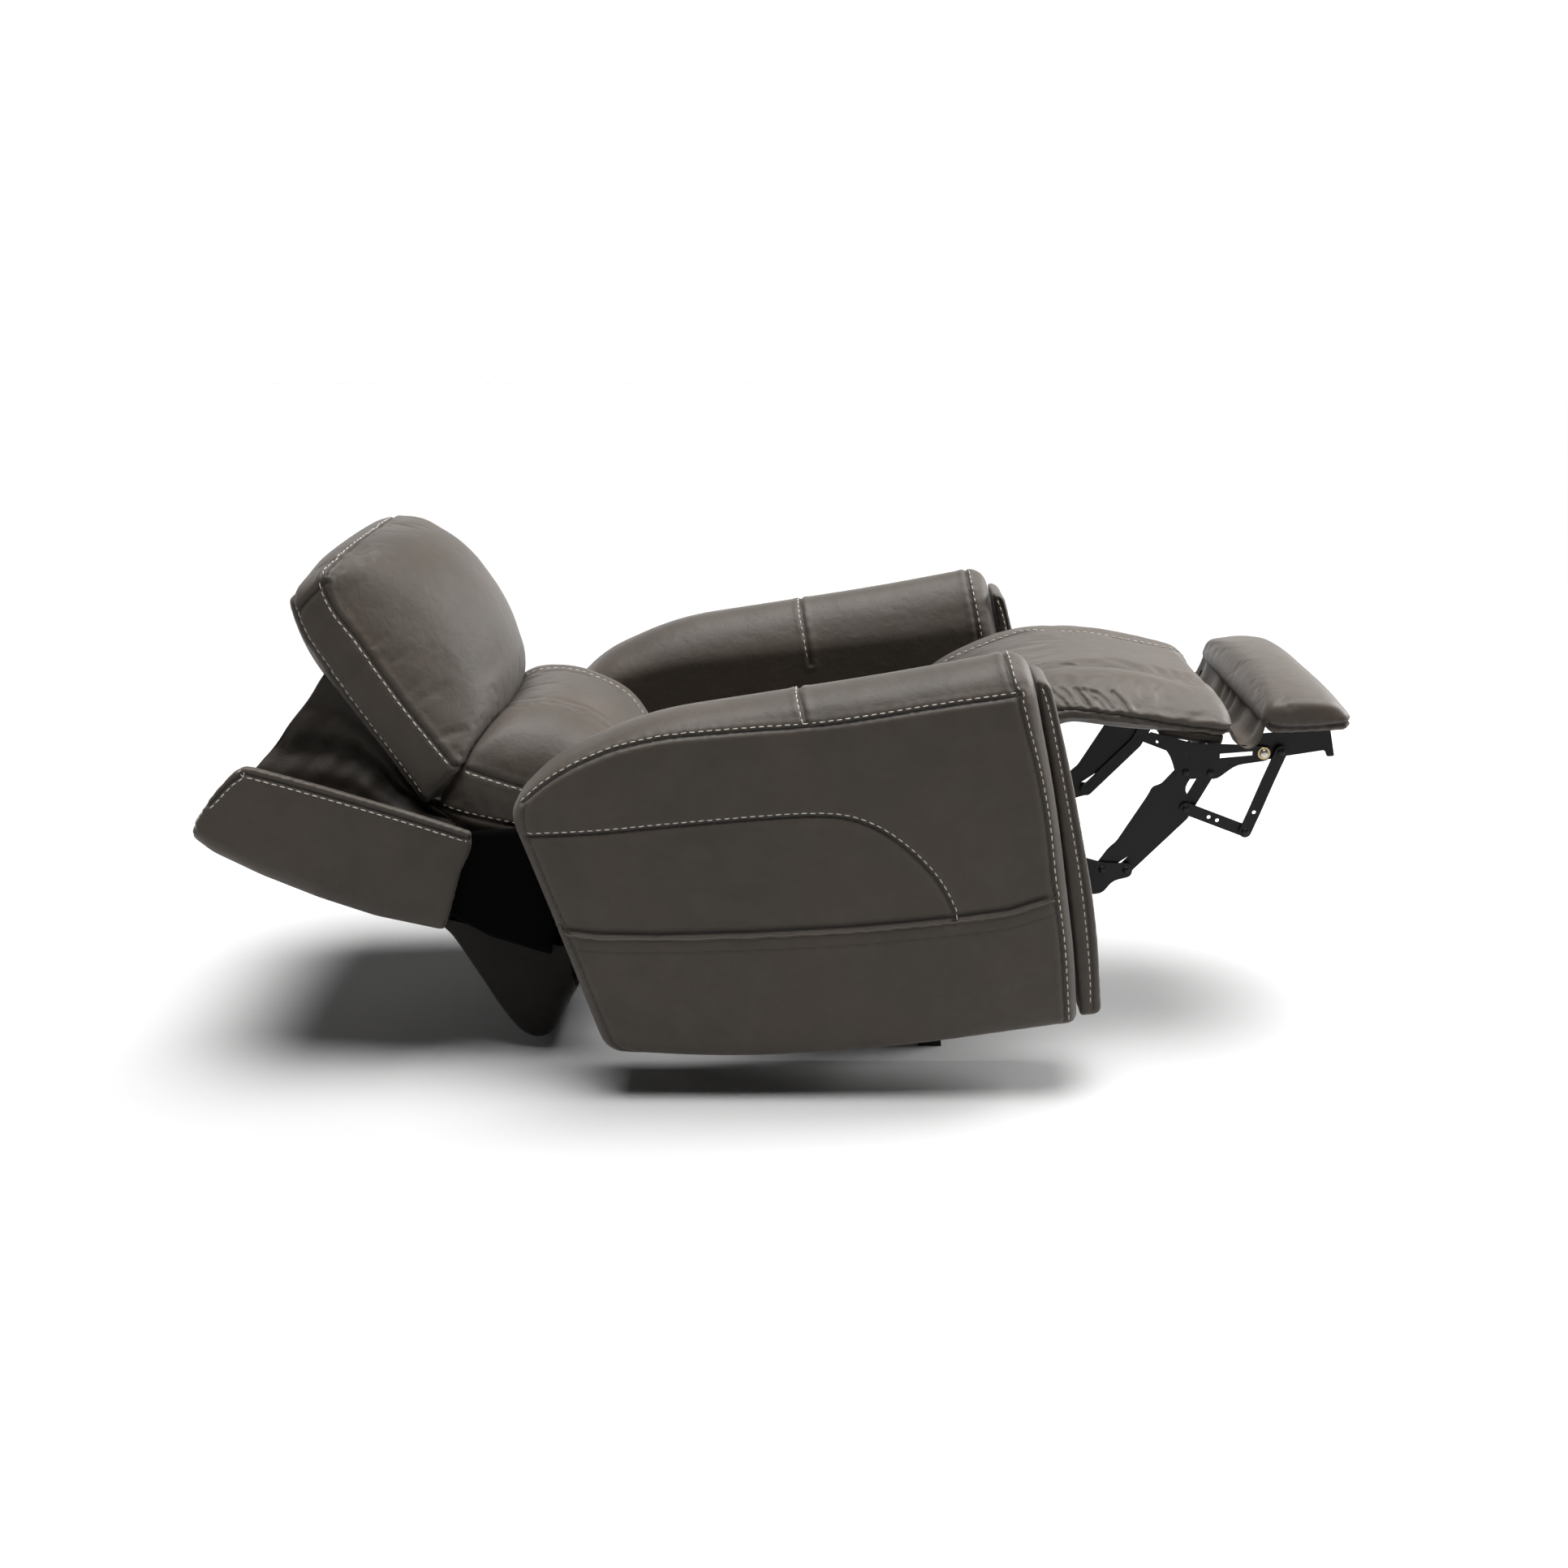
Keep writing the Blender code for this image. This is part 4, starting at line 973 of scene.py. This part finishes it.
def build_lumbar():
    side = rounded(
        [
            (-0.010, 0.005, 0.01), (0.040, -0.005, 0.02), (0.074, 0.060, 0.03), (0.068, 0.180, 0.03),
            (0.062, 0.284, 0.012), (0.020, 0.298, 0.02), (-0.022, 0.308, 0.012), (-0.062, 0.240, 0.04),
            (-0.050, 0.100, 0.03),
        ]
    )
    middle = rounded(
        [
            (-0.010, 0.002, 0.01), (0.085, -0.006, 0.04), (0.152, 0.055, 0.05), (0.172, 0.160, 0.06),
            (0.146, 0.246, 0.04), (0.060, 0.284, 0.03), (-0.022, 0.308, 0.012), (-0.066, 0.240, 0.04),
            (-0.050, 0.100, 0.03),
        ]
    )
    pad = remeshed(loft("lumbar", "back", side, middle, 0.264, 0, 6.5, 0.024), 0.0060, 6)
    top = [
        (0.060, 0.276), (0.110, 0.262), (0.136, 0.238), (0.152, 0.190), (0.160, 0.142), (0.155, 0.089),
        (0.142, 0.050), (0.110, 0.006),
    ]
    lengthwise = [[place("back", x, y, z) for x, z in top] for y in (-ROLL_SEAM, ROLL_SEAM)]
    upper = side_lines("back", 0.270, LUMBAR_FRONT)
    lower = side_lines("back", 0.270, LUMBAR_REAR)
    rear = np.clip((-0.02 - to_local("back", coordinates(pad))[:, 0]) / 0.01, 0, 1)
    held = np.maximum(near_lines(pad, lengthwise + upper + lower, 0.012), rear)
    inflate(pad, held, pressure=2.5, cap=0.007, grow=0.008)
    subdivided(pad)
    raise_bolsters(pad)
    near_seam, far_seam = lengthwise
    seams(pad, "back", [near_seam], (), depth=0.0044, width=0.0044, puff=0.0010, pucker=0.0002)
    seams(pad, "back", [far_seam], (-0.0044,), depth=0.0030, width=0.0026, puff=0.0008, pucker=0.0002)
    sew_boxing(pad, "back", upper, lower)
    upholster(pad, "back", "lumbar_cushion", fill=0.7)


def to_local(body, co):
    """Row-frame points in a body's own frame."""
    (ox, oz), turn, lift = FRAMES[body]
    c, s = cos(radians(turn)), sin(radians(turn))
    x, z = co[:, 0] - ox, co[:, 2] - oz
    return np.stack([x * c - z * s, co[:, 1], x * s + z * c + lift], axis=1)


HEAD_FRONT = [
    (0.068, 0.420), (0.055, 0.391), (0.051, 0.353), (0.056, 0.305),
    (0.058, 0.240), (0.061, 0.175), (0.067, 0.111), (0.073, 0.052),
]
HEAD_REAR = [
    (-0.009, 0.404), (-0.016, 0.376), (-0.021, 0.346), (-0.021, 0.287), (-0.017, 0.197), (-0.012, 0.101),
    (-0.008, 0.026),
]
HEAD_TOP_REAR = [
    (0.0, -0.28, 0.42), (-0.004, -0.20, 0.432), (-0.006, 0, 0.440), (-0.004, 0.20, 0.432), (0.0, 0.28, 0.42),
]
HEAD_TOP_FRONT = [
    (0.068, -0.279, 0.418), (0.095, -0.20, 0.436), (0.118, -0.10, 0.444), (0.124, 0, 0.446),
    (0.118, 0.10, 0.444), (0.095, 0.20, 0.436), (0.068, 0.279, 0.418),
]
HEAD_BOTTOM = [
    (0.074, -0.278, 0.048), (0.082, -0.15, 0.036), (0.086, 0, 0.032),
    (0.082, 0.15, 0.036), (0.074, 0.278, 0.048),
]


def build_headrest():
    side = rounded(
        [
            (-0.010, 0.018, 0.008), (0.030, 0.030, 0.02), (0.077, 0.044, 0.010), (0.062, 0.180, 0.05),
            (0.050, 0.340, 0.05), (0.068, 0.422, 0.012), (-0.008, 0.410, 0.012), (-0.022, 0.346, 0.04),
            (-0.022, 0.262, 0.03), (-0.014, 0.120, 0.03),
        ]
    )
    middle = rounded(
        [
            (-0.010, 0.014, 0.008), (0.086, 0.030, 0.03), (0.182, 0.085, 0.07), (0.218, 0.200, 0.08),
            (0.210, 0.330, 0.09), (0.146, 0.430, 0.05), (-0.004, 0.428, 0.04), (-0.056, 0.375, 0.04),
            (-0.056, 0.270, 0.03), (-0.014, 0.180, 0.03),
        ]
    )
    pad = remeshed(loft("headrest_pad", "headrest", side, middle, 0.277, 0, 2.5, 0.016), 0.0060, 6)
    front = side_lines("headrest", 0.282, HEAD_FRONT)
    rear = side_lines("headrest", 0.282, HEAD_REAR)
    corners = side_lines("headrest", 0.282, [(0.062, 0.404), (0.025, 0.396), (-0.014, 0.382)])
    over = [[place("headrest", *p) for p in line] for line in (HEAD_TOP_REAR, HEAD_TOP_FRONT)]
    bottom = [[place("headrest", *p) for p in HEAD_BOTTOM]]
    local = to_local("headrest", coordinates(pad))
    back_face = np.clip((-0.010 - local[:, 0]) / 0.01, 0, 1) * np.clip((0.25 - local[:, 2]) / 0.03, 0, 1)
    held = np.maximum(near_lines(pad, front + rear + over + bottom + corners, 0.012), back_face)
    inflate(pad, held, pressure=3.0, cap=0.012, grow=0.006)
    subdivided(pad)
    sew_boxing(pad, "headrest", front, rear)
    seams(pad, "headrest", over[1:], (0.0055,), pucker=0.0005, wave=0.034)
    seams(pad, "headrest", over[:1] + bottom + corners, (), pucker=0.0004, wave=0.03)
    upholster(pad, "headrest", "headrest_cushion", fill=0.8)


def curve_at(points, t):
    """The point at a share t of the way along a polyline, by length."""
    p = np.array(points, float)
    marks = marks_along(p)
    return np.array([np.interp(t * marks[-1], marks, p[:, k]) for k in range(p.shape[1])])


SHELL_FRONT = [(-0.030, 0.240), (-0.023, 0.352), (-0.017, 0.490), (-0.015, 0.607)]
SHELL_REAR = [
    (-0.198, 0.250), (-0.203, 0.361), (-0.196, 0.455), (-0.182, 0.550), (-0.164, 0.630), (-0.147, 0.665),
]
SHELL_BOTTOM = [
    (-0.030, 0.240), (-0.058, 0.235), (-0.100, 0.244), (-0.150, 0.245), (-0.175, 0.245), (-0.198, 0.250),
]
SHELL_TOP = [(-0.015, 0.607), (-0.029, 0.623), (-0.087, 0.653), (-0.125, 0.669), (-0.147, 0.665)]
SHELL_SHIFT = np.array((0.008, -0.004))
SHELL_OUTER = 0.3125


def wing_point(a, v):
    """A point of the wing's side, a from its front edge to its rear and v from its bottom to its top."""
    front, rear = curve_at(SHELL_FRONT, v), curve_at(SHELL_REAR, v)
    bottom, top = curve_at(SHELL_BOTTOM, a), curve_at(SHELL_TOP, a)
    corners = (
        (1 - a) * (1 - v) * np.array(SHELL_FRONT[0]) + a * (1 - v) * np.array(SHELL_REAR[0])
        + (1 - a) * v * np.array(SHELL_FRONT[-1]) + a * v * np.array(SHELL_REAR[-1])
    )
    return (1 - a) * front + a * rear + (1 - v) * bottom + v * top - corners + SHELL_SHIFT


def shell_row(v):
    """One row of the shell's skin, from wing edge to wing edge, at a share v of its height."""
    corner = 0.030
    row = []
    for i in range(31):
        a = i / 30
        x, z = wing_point(a, v)
        bulge = 0.0035 * sin(pi * a) * sin(pi * v) ** 0.5
        bend = max(0.0, (a - 0.86) / 0.14)
        row.append((x, SHELL_OUTER - 0.002 + bulge - corner * (1 - sqrt(max(0.0, 1 - bend**2))), z))
    x, z = wing_point(1.0, v)
    for i in range(1, 40):
        s = cos(pi * i / 40)
        row.append((x - 0.012 * (1 - s * s), s * (SHELL_OUTER - corner - 0.002), z + 0.012 * (1 - s * s) * v))
    return row + [(x, -y, z) for x, y, z in row[30::-1]]


def build_shell():
    """The outer back and its two wings as one upholstered shell."""
    rows = [[place("back", *p) for p in shell_row(j / 45)] for j in range(46)]
    count = len(rows[0])
    faces = [
        (i * count + j, (i + 1) * count + j, (i + 1) * count + j + 1, i * count + j + 1)
        for i in range(len(rows) - 1)
        for j in range(count - 1)
    ]
    shell = new_object("back_shell", [p for row in rows for p in row], faces)
    step = shell.modifiers.new("thick", "SOLIDIFY")
    step.thickness = 0.020
    step.offset = -1
    step.use_even_offset = True
    apply_modifiers(shell)
    remeshed(shell, 0.0050)
    subdivided(shell)
    edge = SHELL_FRONT + [(-0.020, 0.614), (-0.040, 0.630), (-0.087, 0.655), (-0.125, 0.671)]
    shift_x, shift_z = SHELL_SHIFT
    for _, side in SIDES:
        y = side * (SHELL_OUTER + 0.012)
        line = [place("back", x - 0.011 + shift_x, y, z - 0.003 + shift_z) for x, z in edge]
        seams(shell, "back", [line], (-0.0055 * side,))
    low = [
        [place("back", x, side * (SHELL_OUTER + 0.004), z + 0.006) for x, z in SHELL_BOTTOM[1:-1]]
        for _, side in SIDES
    ]
    seams(shell, "back", low, ())
    upholster(shell, "back", "back_wing_L", "back_wing_R", "outer_back_panel")


def build_gusset():
    """The pleated leather that closes the gap between the shell and the headrest as it tips."""
    shell_side = [(-0.512, 0.398), (-0.600, 0.424), (-0.700, 0.456), (-0.780, 0.478), (-0.840, 0.494)]
    head_side = [(-0.560, 0.448), (-0.600, 0.506), (-0.638, 0.562), (-0.678, 0.616), (-0.716, 0.662)]
    shell_half, head_half = 0.280, 0.258
    columns = []
    for i in range(33):
        t = i / 32
        a, b = curve_at(shell_side, t), curve_at(head_side, t)
        columns.append(((a[0], shell_half, a[1]), (b[0], head_half, b[1])))
    for i in range(1, 40):
        s = cos(pi * i / 40)
        columns.append(((-0.846, shell_half * s, 0.494), (-0.716, head_half * s, 0.662)))
    columns += [((a[0], -a[1], a[2]), (b[0], -b[1], b[2])) for a, b in columns[32::-1]]
    rows = []
    for j in range(45):
        v = j / 44
        row = []
        for i, (a, b) in enumerate(columns):
            a, b = np.array(a), np.array(b)
            share = i / (len(columns) - 1)
            fold = 0.007 * sin(v * 2 * pi * 2.0 + 1.6 * sin(share * 21)) * sin(pi * v) ** 0.6
            fold += (0.0034 * sin(share * 96 + 5 * v) + 0.0020 * sin(share * 173 - 7 * v + 1)) * sin(pi * v)
            out = np.array([-0.8, 0.0, 0.5])
            if abs(a[1]) >= 0.27:
                out = np.array([-0.1, 0.9 * np.sign(a[1]), 0.1])
            row.append(a + (b - a) * v + out * (fold - 0.016 * sin(pi * v)))
        rows.append(row)
    gusset = sheet_between("headrest_gusset", rows, 0.0018)
    subdivided(gusset)
    bend = ("back", "headrest", (-0.720, 0, 0.470), (-0.665, 0, 0.600))
    # The gusset wears the darkened hide as painted shade.
    upholster(gusset, None, material=GUSSET_HIDE_PAINTED_SHADE, blended=bend)


def build_lining():
    """The black cloth that closes the gap under the back, from the shell to the chassis behind the arms,
    darkened as painted shade for the cavity.
    """
    upper = [(-0.498, 0.402), (-0.420, 0.408), (-0.340, 0.400)]
    lower = [(-0.540, 0.262), (-0.470, 0.222), (-0.372, 0.190)]
    half = 0.2812
    rows = []
    for i in range(25):
        t = i / 24
        sag = sin(pi * t)
        top, bottom = curve_at(upper, t), curve_at(lower, t)
        row = []
        for j in range(17):
            p = top + (bottom - top) * j / 16
            row.append((p[0], half - 0.0006 * sin(pi * j / 16) * sag, p[1]))
        for j in range(1, 34):
            s = cos(pi * j / 34)
            row.append((bottom[0], half * s, bottom[1] - 0.006 * (1 - s * s) * sag))
        rows.append(row + [(x, -y, z) for x, y, z in row[16::-1]])
    lining = sheet_between("under_back_lining", rows, 0.0014)
    bend = ("back", "chassis", (-0.52, 0, 0.33), (-0.34, 0, 0.28))
    upholster(lining, None, material=LINING_CLOTH_PAINTED_SHADE, blended=bend)


def build_flap():
    """The leather flap that hangs in a loop from the shell to the chassis, with a few soft folds."""
    loop = [
        (-0.556, 0, 0.222), (-0.535, 0, 0.195), (-0.500, 0, 0.125), (-0.474, 0, 0.070), (-0.443, 0, 0.026),
        (-0.410, 0, 0.012), (-0.380, 0, 0.028), (-0.356, 0, 0.075), (-0.338, 0, 0.105),
    ]
    profile = spline(loop, 0.006)
    half = 0.272
    across = half * np.sin(np.linspace(-0.5 * pi, 0.5 * pi, 121))
    rows = []
    for i, (x, _, z) in enumerate(profile):
        t = i / (len(profile) - 1)
        soft = sin(pi * t)
        taut = (-0.548 + 0.205 * t, 0.250 - 0.052 * t)
        row = []
        for y in across:
            edge = abs(y / half) ** 16
            px = x + soft * 0.006 * sin(y * 31 + 4 * t)
            pz = z + soft * 0.004 * sin(y * 22 + 2)
            row.append((px + (taut[0] - px) * edge, y, max(0.007, pz + (taut[1] - pz) * edge)))
        rows.append(row)
    flap = sheet_between("rear_leather_flap", rows, 0.0020)
    bend = ("back", "chassis", (-0.556, 0, 0.222), (-0.338, 0, 0.105))
    # The flap wears the darkened hide as painted shade.
    upholster(flap, None, "rear_flap", material=FLAP_HIDE_PAINTED_SHADE, blended=bend)


# ---------------------------------------------------------------- room, camera and light


def build_stage():
    corners = [(-9, -6, 0), (9, -6, 0), (9, 14, 0), (-9, 14, 0)]
    floor_object = new_object("studio_floor", corners, [(0, 1, 2, 3)])
    wear_material(floor_object, floor_material(), False)


def area_light(name, location, target, size, power):
    data = bpy.data.lights.new(name, "AREA")
    data.shape = "RECTANGLE"
    data.size, data.size_y = size
    data.energy = power
    lamp = bpy.data.objects.new(name, data)
    lamp.location = location
    lamp.rotation_euler = (Vector(target) - Vector(location)).to_track_quat("-Z", "Y").to_euler()
    bpy.context.scene.collection.objects.link(lamp)


def sun_light(name, towards, angle, strength):
    data = bpy.data.lights.new(name, "SUN")
    data.energy = strength
    data.angle = angle
    lamp = bpy.data.objects.new(name, data)
    lamp.rotation_euler = (-Vector(towards)).to_track_quat("-Z", "Y").to_euler()
    bpy.context.scene.collection.objects.link(lamp)


def build_light():
    world = bpy.data.worlds.new("studio")
    bpy.context.scene.world = world
    world.use_nodes = True
    tree = world.node_tree
    tree.nodes.clear()
    seen = add(tree, "ShaderNodeBackground", Color=(1, 1, 1, 1), Strength=1.05)
    fill = add(tree, "ShaderNodeBackground", Color=(1, 1, 1, 1))
    towards = add(tree, "ShaderNodeSeparateXYZ")
    tree.links.new(add(tree, "ShaderNodeTexCoord").outputs["Generated"], towards.inputs[0])
    behind = ramp(tree, towards.outputs["Y"], -0.70, 1.0)
    # Most of the fill comes low from behind the chair, and little from the camera's side.
    level = calculate(tree, "MULTIPLY_ADD", behind, 1.80, 0.03)
    low_down = ramp(tree, towards.outputs["Z"], 0.70, 0.0)
    tree.links.new(calculate(tree, "MULTIPLY", level, low_down), fill.inputs["Strength"])
    choose = add(tree, "ShaderNodeMixShader")
    path = add(tree, "ShaderNodeLightPath")
    out = add(tree, "ShaderNodeOutputWorld")
    tree.links.new(path.outputs["Is Camera Ray"], choose.inputs[0])
    tree.links.new(fill.outputs[0], choose.inputs[1])
    tree.links.new(seen.outputs[0], choose.inputs[2])
    tree.links.new(choose.outputs[0], out.inputs["Surface"])
    sun_light("overhead", (0.03, -0.02, 1.0), 0.80, 7.0)
    area_light("foot_side", (3.0, 0.9, 2.2), (-0.4, 0, 0.6), (2.0, 1.4), 170)


def build_camera():
    data = bpy.data.cameras.new("camera")
    data.lens = 44.27
    data.sensor_width = 36
    data.shift_x = -0.014
    camera = bpy.data.objects.new("camera", data)
    camera.location = (0.049, -3.260, 1.348)
    camera.rotation_euler = Euler((radians(73.8), 0, 0))
    bpy.context.scene.collection.objects.link(camera)
    bpy.context.scene.camera = camera


def turned(name, profile, x, y, z, side, segments=20):
    """A round fitting on a link, from (radius, height outwards) pairs, facing outwards along Y."""
    verts, faces = [], []
    for radius, height in profile:
        for k in range(segments):
            a = 2 * pi * k / segments
            verts.append((x + radius * cos(a), y + side * height, z + radius * sin(a)))
    for r in range(len(profile) - 1):
        for k in range(segments):
            m = (k + 1) % segments
            quad = (r * segments + k, r * segments + m, (r + 1) * segments + m, (r + 1) * segments + k)
            faces.append(quad if side > 0 else quad[::-1])
    faces.append(tuple(range((len(profile) - 1) * segments, len(profile) * segments)))
    faces.append(tuple(range(segments))[::-1])
    return new_object(name, verts, faces)


def fitting(name, material, body, profile, x, z, side, step):
    """A round fitting on the outer face of a link, whose plates lie in steps across the chair."""
    piece = turned(name, profile, x, side * (0.2415 - 0.005 * step), z, side)
    wear_material(piece, material)
    piece.data.set_sharp_from_angle(angle=radians(40))
    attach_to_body(piece, body)


def build_fittings():
    """Rivet heads on the links' pivots, and the bright bolt and washer on the flipper's pivot."""
    dome = [
        (0.0001, 0.0), (0.0062, 0.0), (0.0064, 0.0006), (0.0058, 0.0018), (0.0040, 0.0027), (0.0018, 0.0031),
    ]
    washer = [
        (0.0001, 0.0), (0.0100, 0.0), (0.0104, 0.0004), (0.0104, 0.0012), (0.0100, 0.0016), (0.0066, 0.0016),
    ]
    bolt = [
        (0.0001, 0.0014), (0.0072, 0.0014), (0.0074, 0.0020),
        (0.0070, 0.0042), (0.0056, 0.0054), (0.0025, 0.0060),
    ]
    brass = metal("yellow_zinc", (0.55, 0.42, 0.20, 1), (0.62, 0.50, 0.28, 1), 0.36, 0.9)
    pivots = [
        ("ottoman", 0.667, 0.491, 0), ("ottoman", 0.707, 0.490, 0), ("main_links", 0.671, 0.429, 0),
        ("drive_arms", 0.538, 0.324, 0), ("drive_arms", 0.578, 0.323, 0), ("push_links", 0.769, 0.391, -1),
        ("flipper", 0.819, 0.526, -1),
    ]
    black, zinc = FINISHES["black_steel"], FINISHES["zinc"]
    for letter, side in SIDES:
        for number, (body, x, z, step) in enumerate(pivots, 1):
            fitting(f"rivet_{letter}{number}", black, body, dome, x, z, side, step)
        fitting("flipper_washer_" + letter, brass, "ottoman", washer, FLIPPER_X, FLIPPER_Z, side, 0)
        fitting("flipper_bolt_" + letter, zinc, "ottoman", bolt, FLIPPER_X, FLIPPER_Z, side, 0)


def dress_frame():
    """Gives every CAD node that still shows a procedural finish for its slot."""
    coat = (0.0030, 0.0030, 0.0033, 1), (0.006, 0.006, 0.0062, 1)
    finishes = {
        "black_steel": metal("powder_coat", *coat, 0.42, 0.0, 900.0, 0.4),
        "zinc": metal("zinc_plate", (0.50, 0.48, 0.42, 1), (0.60, 0.58, 0.52, 1), 0.34, 0.9),
        "plastic": moulded("black_plastic", (0.012, 0.012, 0.012, 1), (0.02, 0.02, 0.02, 1)),
        "wood": timber(),
        "leather": HIDE,
        "motor_grey": moulded("grey_plastic", (0.06, 0.06, 0.065, 1), (0.085, 0.085, 0.09, 1)),
    }
    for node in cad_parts.values():
        for slot in node.material_slots:
            given = slot.material.name if slot.material else ""
            key = next((k for k in finishes if given.startswith(k)), "black_steel")
            slot.material = finishes[key]
    return finishes


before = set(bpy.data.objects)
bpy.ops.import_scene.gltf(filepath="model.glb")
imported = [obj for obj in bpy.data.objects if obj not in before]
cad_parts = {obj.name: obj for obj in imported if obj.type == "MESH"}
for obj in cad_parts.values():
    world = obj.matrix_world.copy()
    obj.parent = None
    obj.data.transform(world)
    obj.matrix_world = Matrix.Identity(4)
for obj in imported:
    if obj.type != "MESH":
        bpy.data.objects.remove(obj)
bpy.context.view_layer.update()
bpy.context.scene.view_settings.view_transform = "Standard"
HIDE = leather(
    "hide", (0.032, 0.0262, 0.0192, 1), (0.0465, 0.0325, 0.0225, 1), (0.070, 0.061, 0.051, 1), 0.34
)
# A darkened copy of the hide: painted shade for the flap that hangs under the back.
FLAP_HIDE_PAINTED_SHADE = leather(
    "hide_shaded", (0.006, 0.0048, 0.0036, 1), (0.008, 0.0060, 0.0044, 1), (0.012, 0.010, 0.008, 1), 0.12
)
# A darkened copy of the hide: painted shade for the gusset in the headrest's shadow.
GUSSET_HIDE_PAINTED_SHADE = leather(
    "hide_dark", (0.014, 0.011, 0.008, 1), (0.018, 0.013, 0.009, 1), (0.026, 0.021, 0.017, 1), 0.2
)
# The lining's cloth, black and darkened further as painted shade.
LINING_CLOTH_PAINTED_SHADE = woven_black_painted_shade()
THREAD = thread()
build_camera()
build_light()
build_stage()
FINISHES = dress_frame()
for letter, side in SIDES:
    build_arm(letter, side)
build_seat()
build_chaise()
build_underboard()
build_flipper()
build_bridge()
build_lumbar()
build_headrest()
build_shell()
build_gusset()
build_lining()
build_flap()
build_fittings()
sewn("chassis", "stitching_arms", "chassis")
sewn("chaise", "stitching_chaise", None, CHAISE_BEND)
sewn("back", "stitching_back", "back")
sewn("headrest", "stitching_headrest", "headrest")
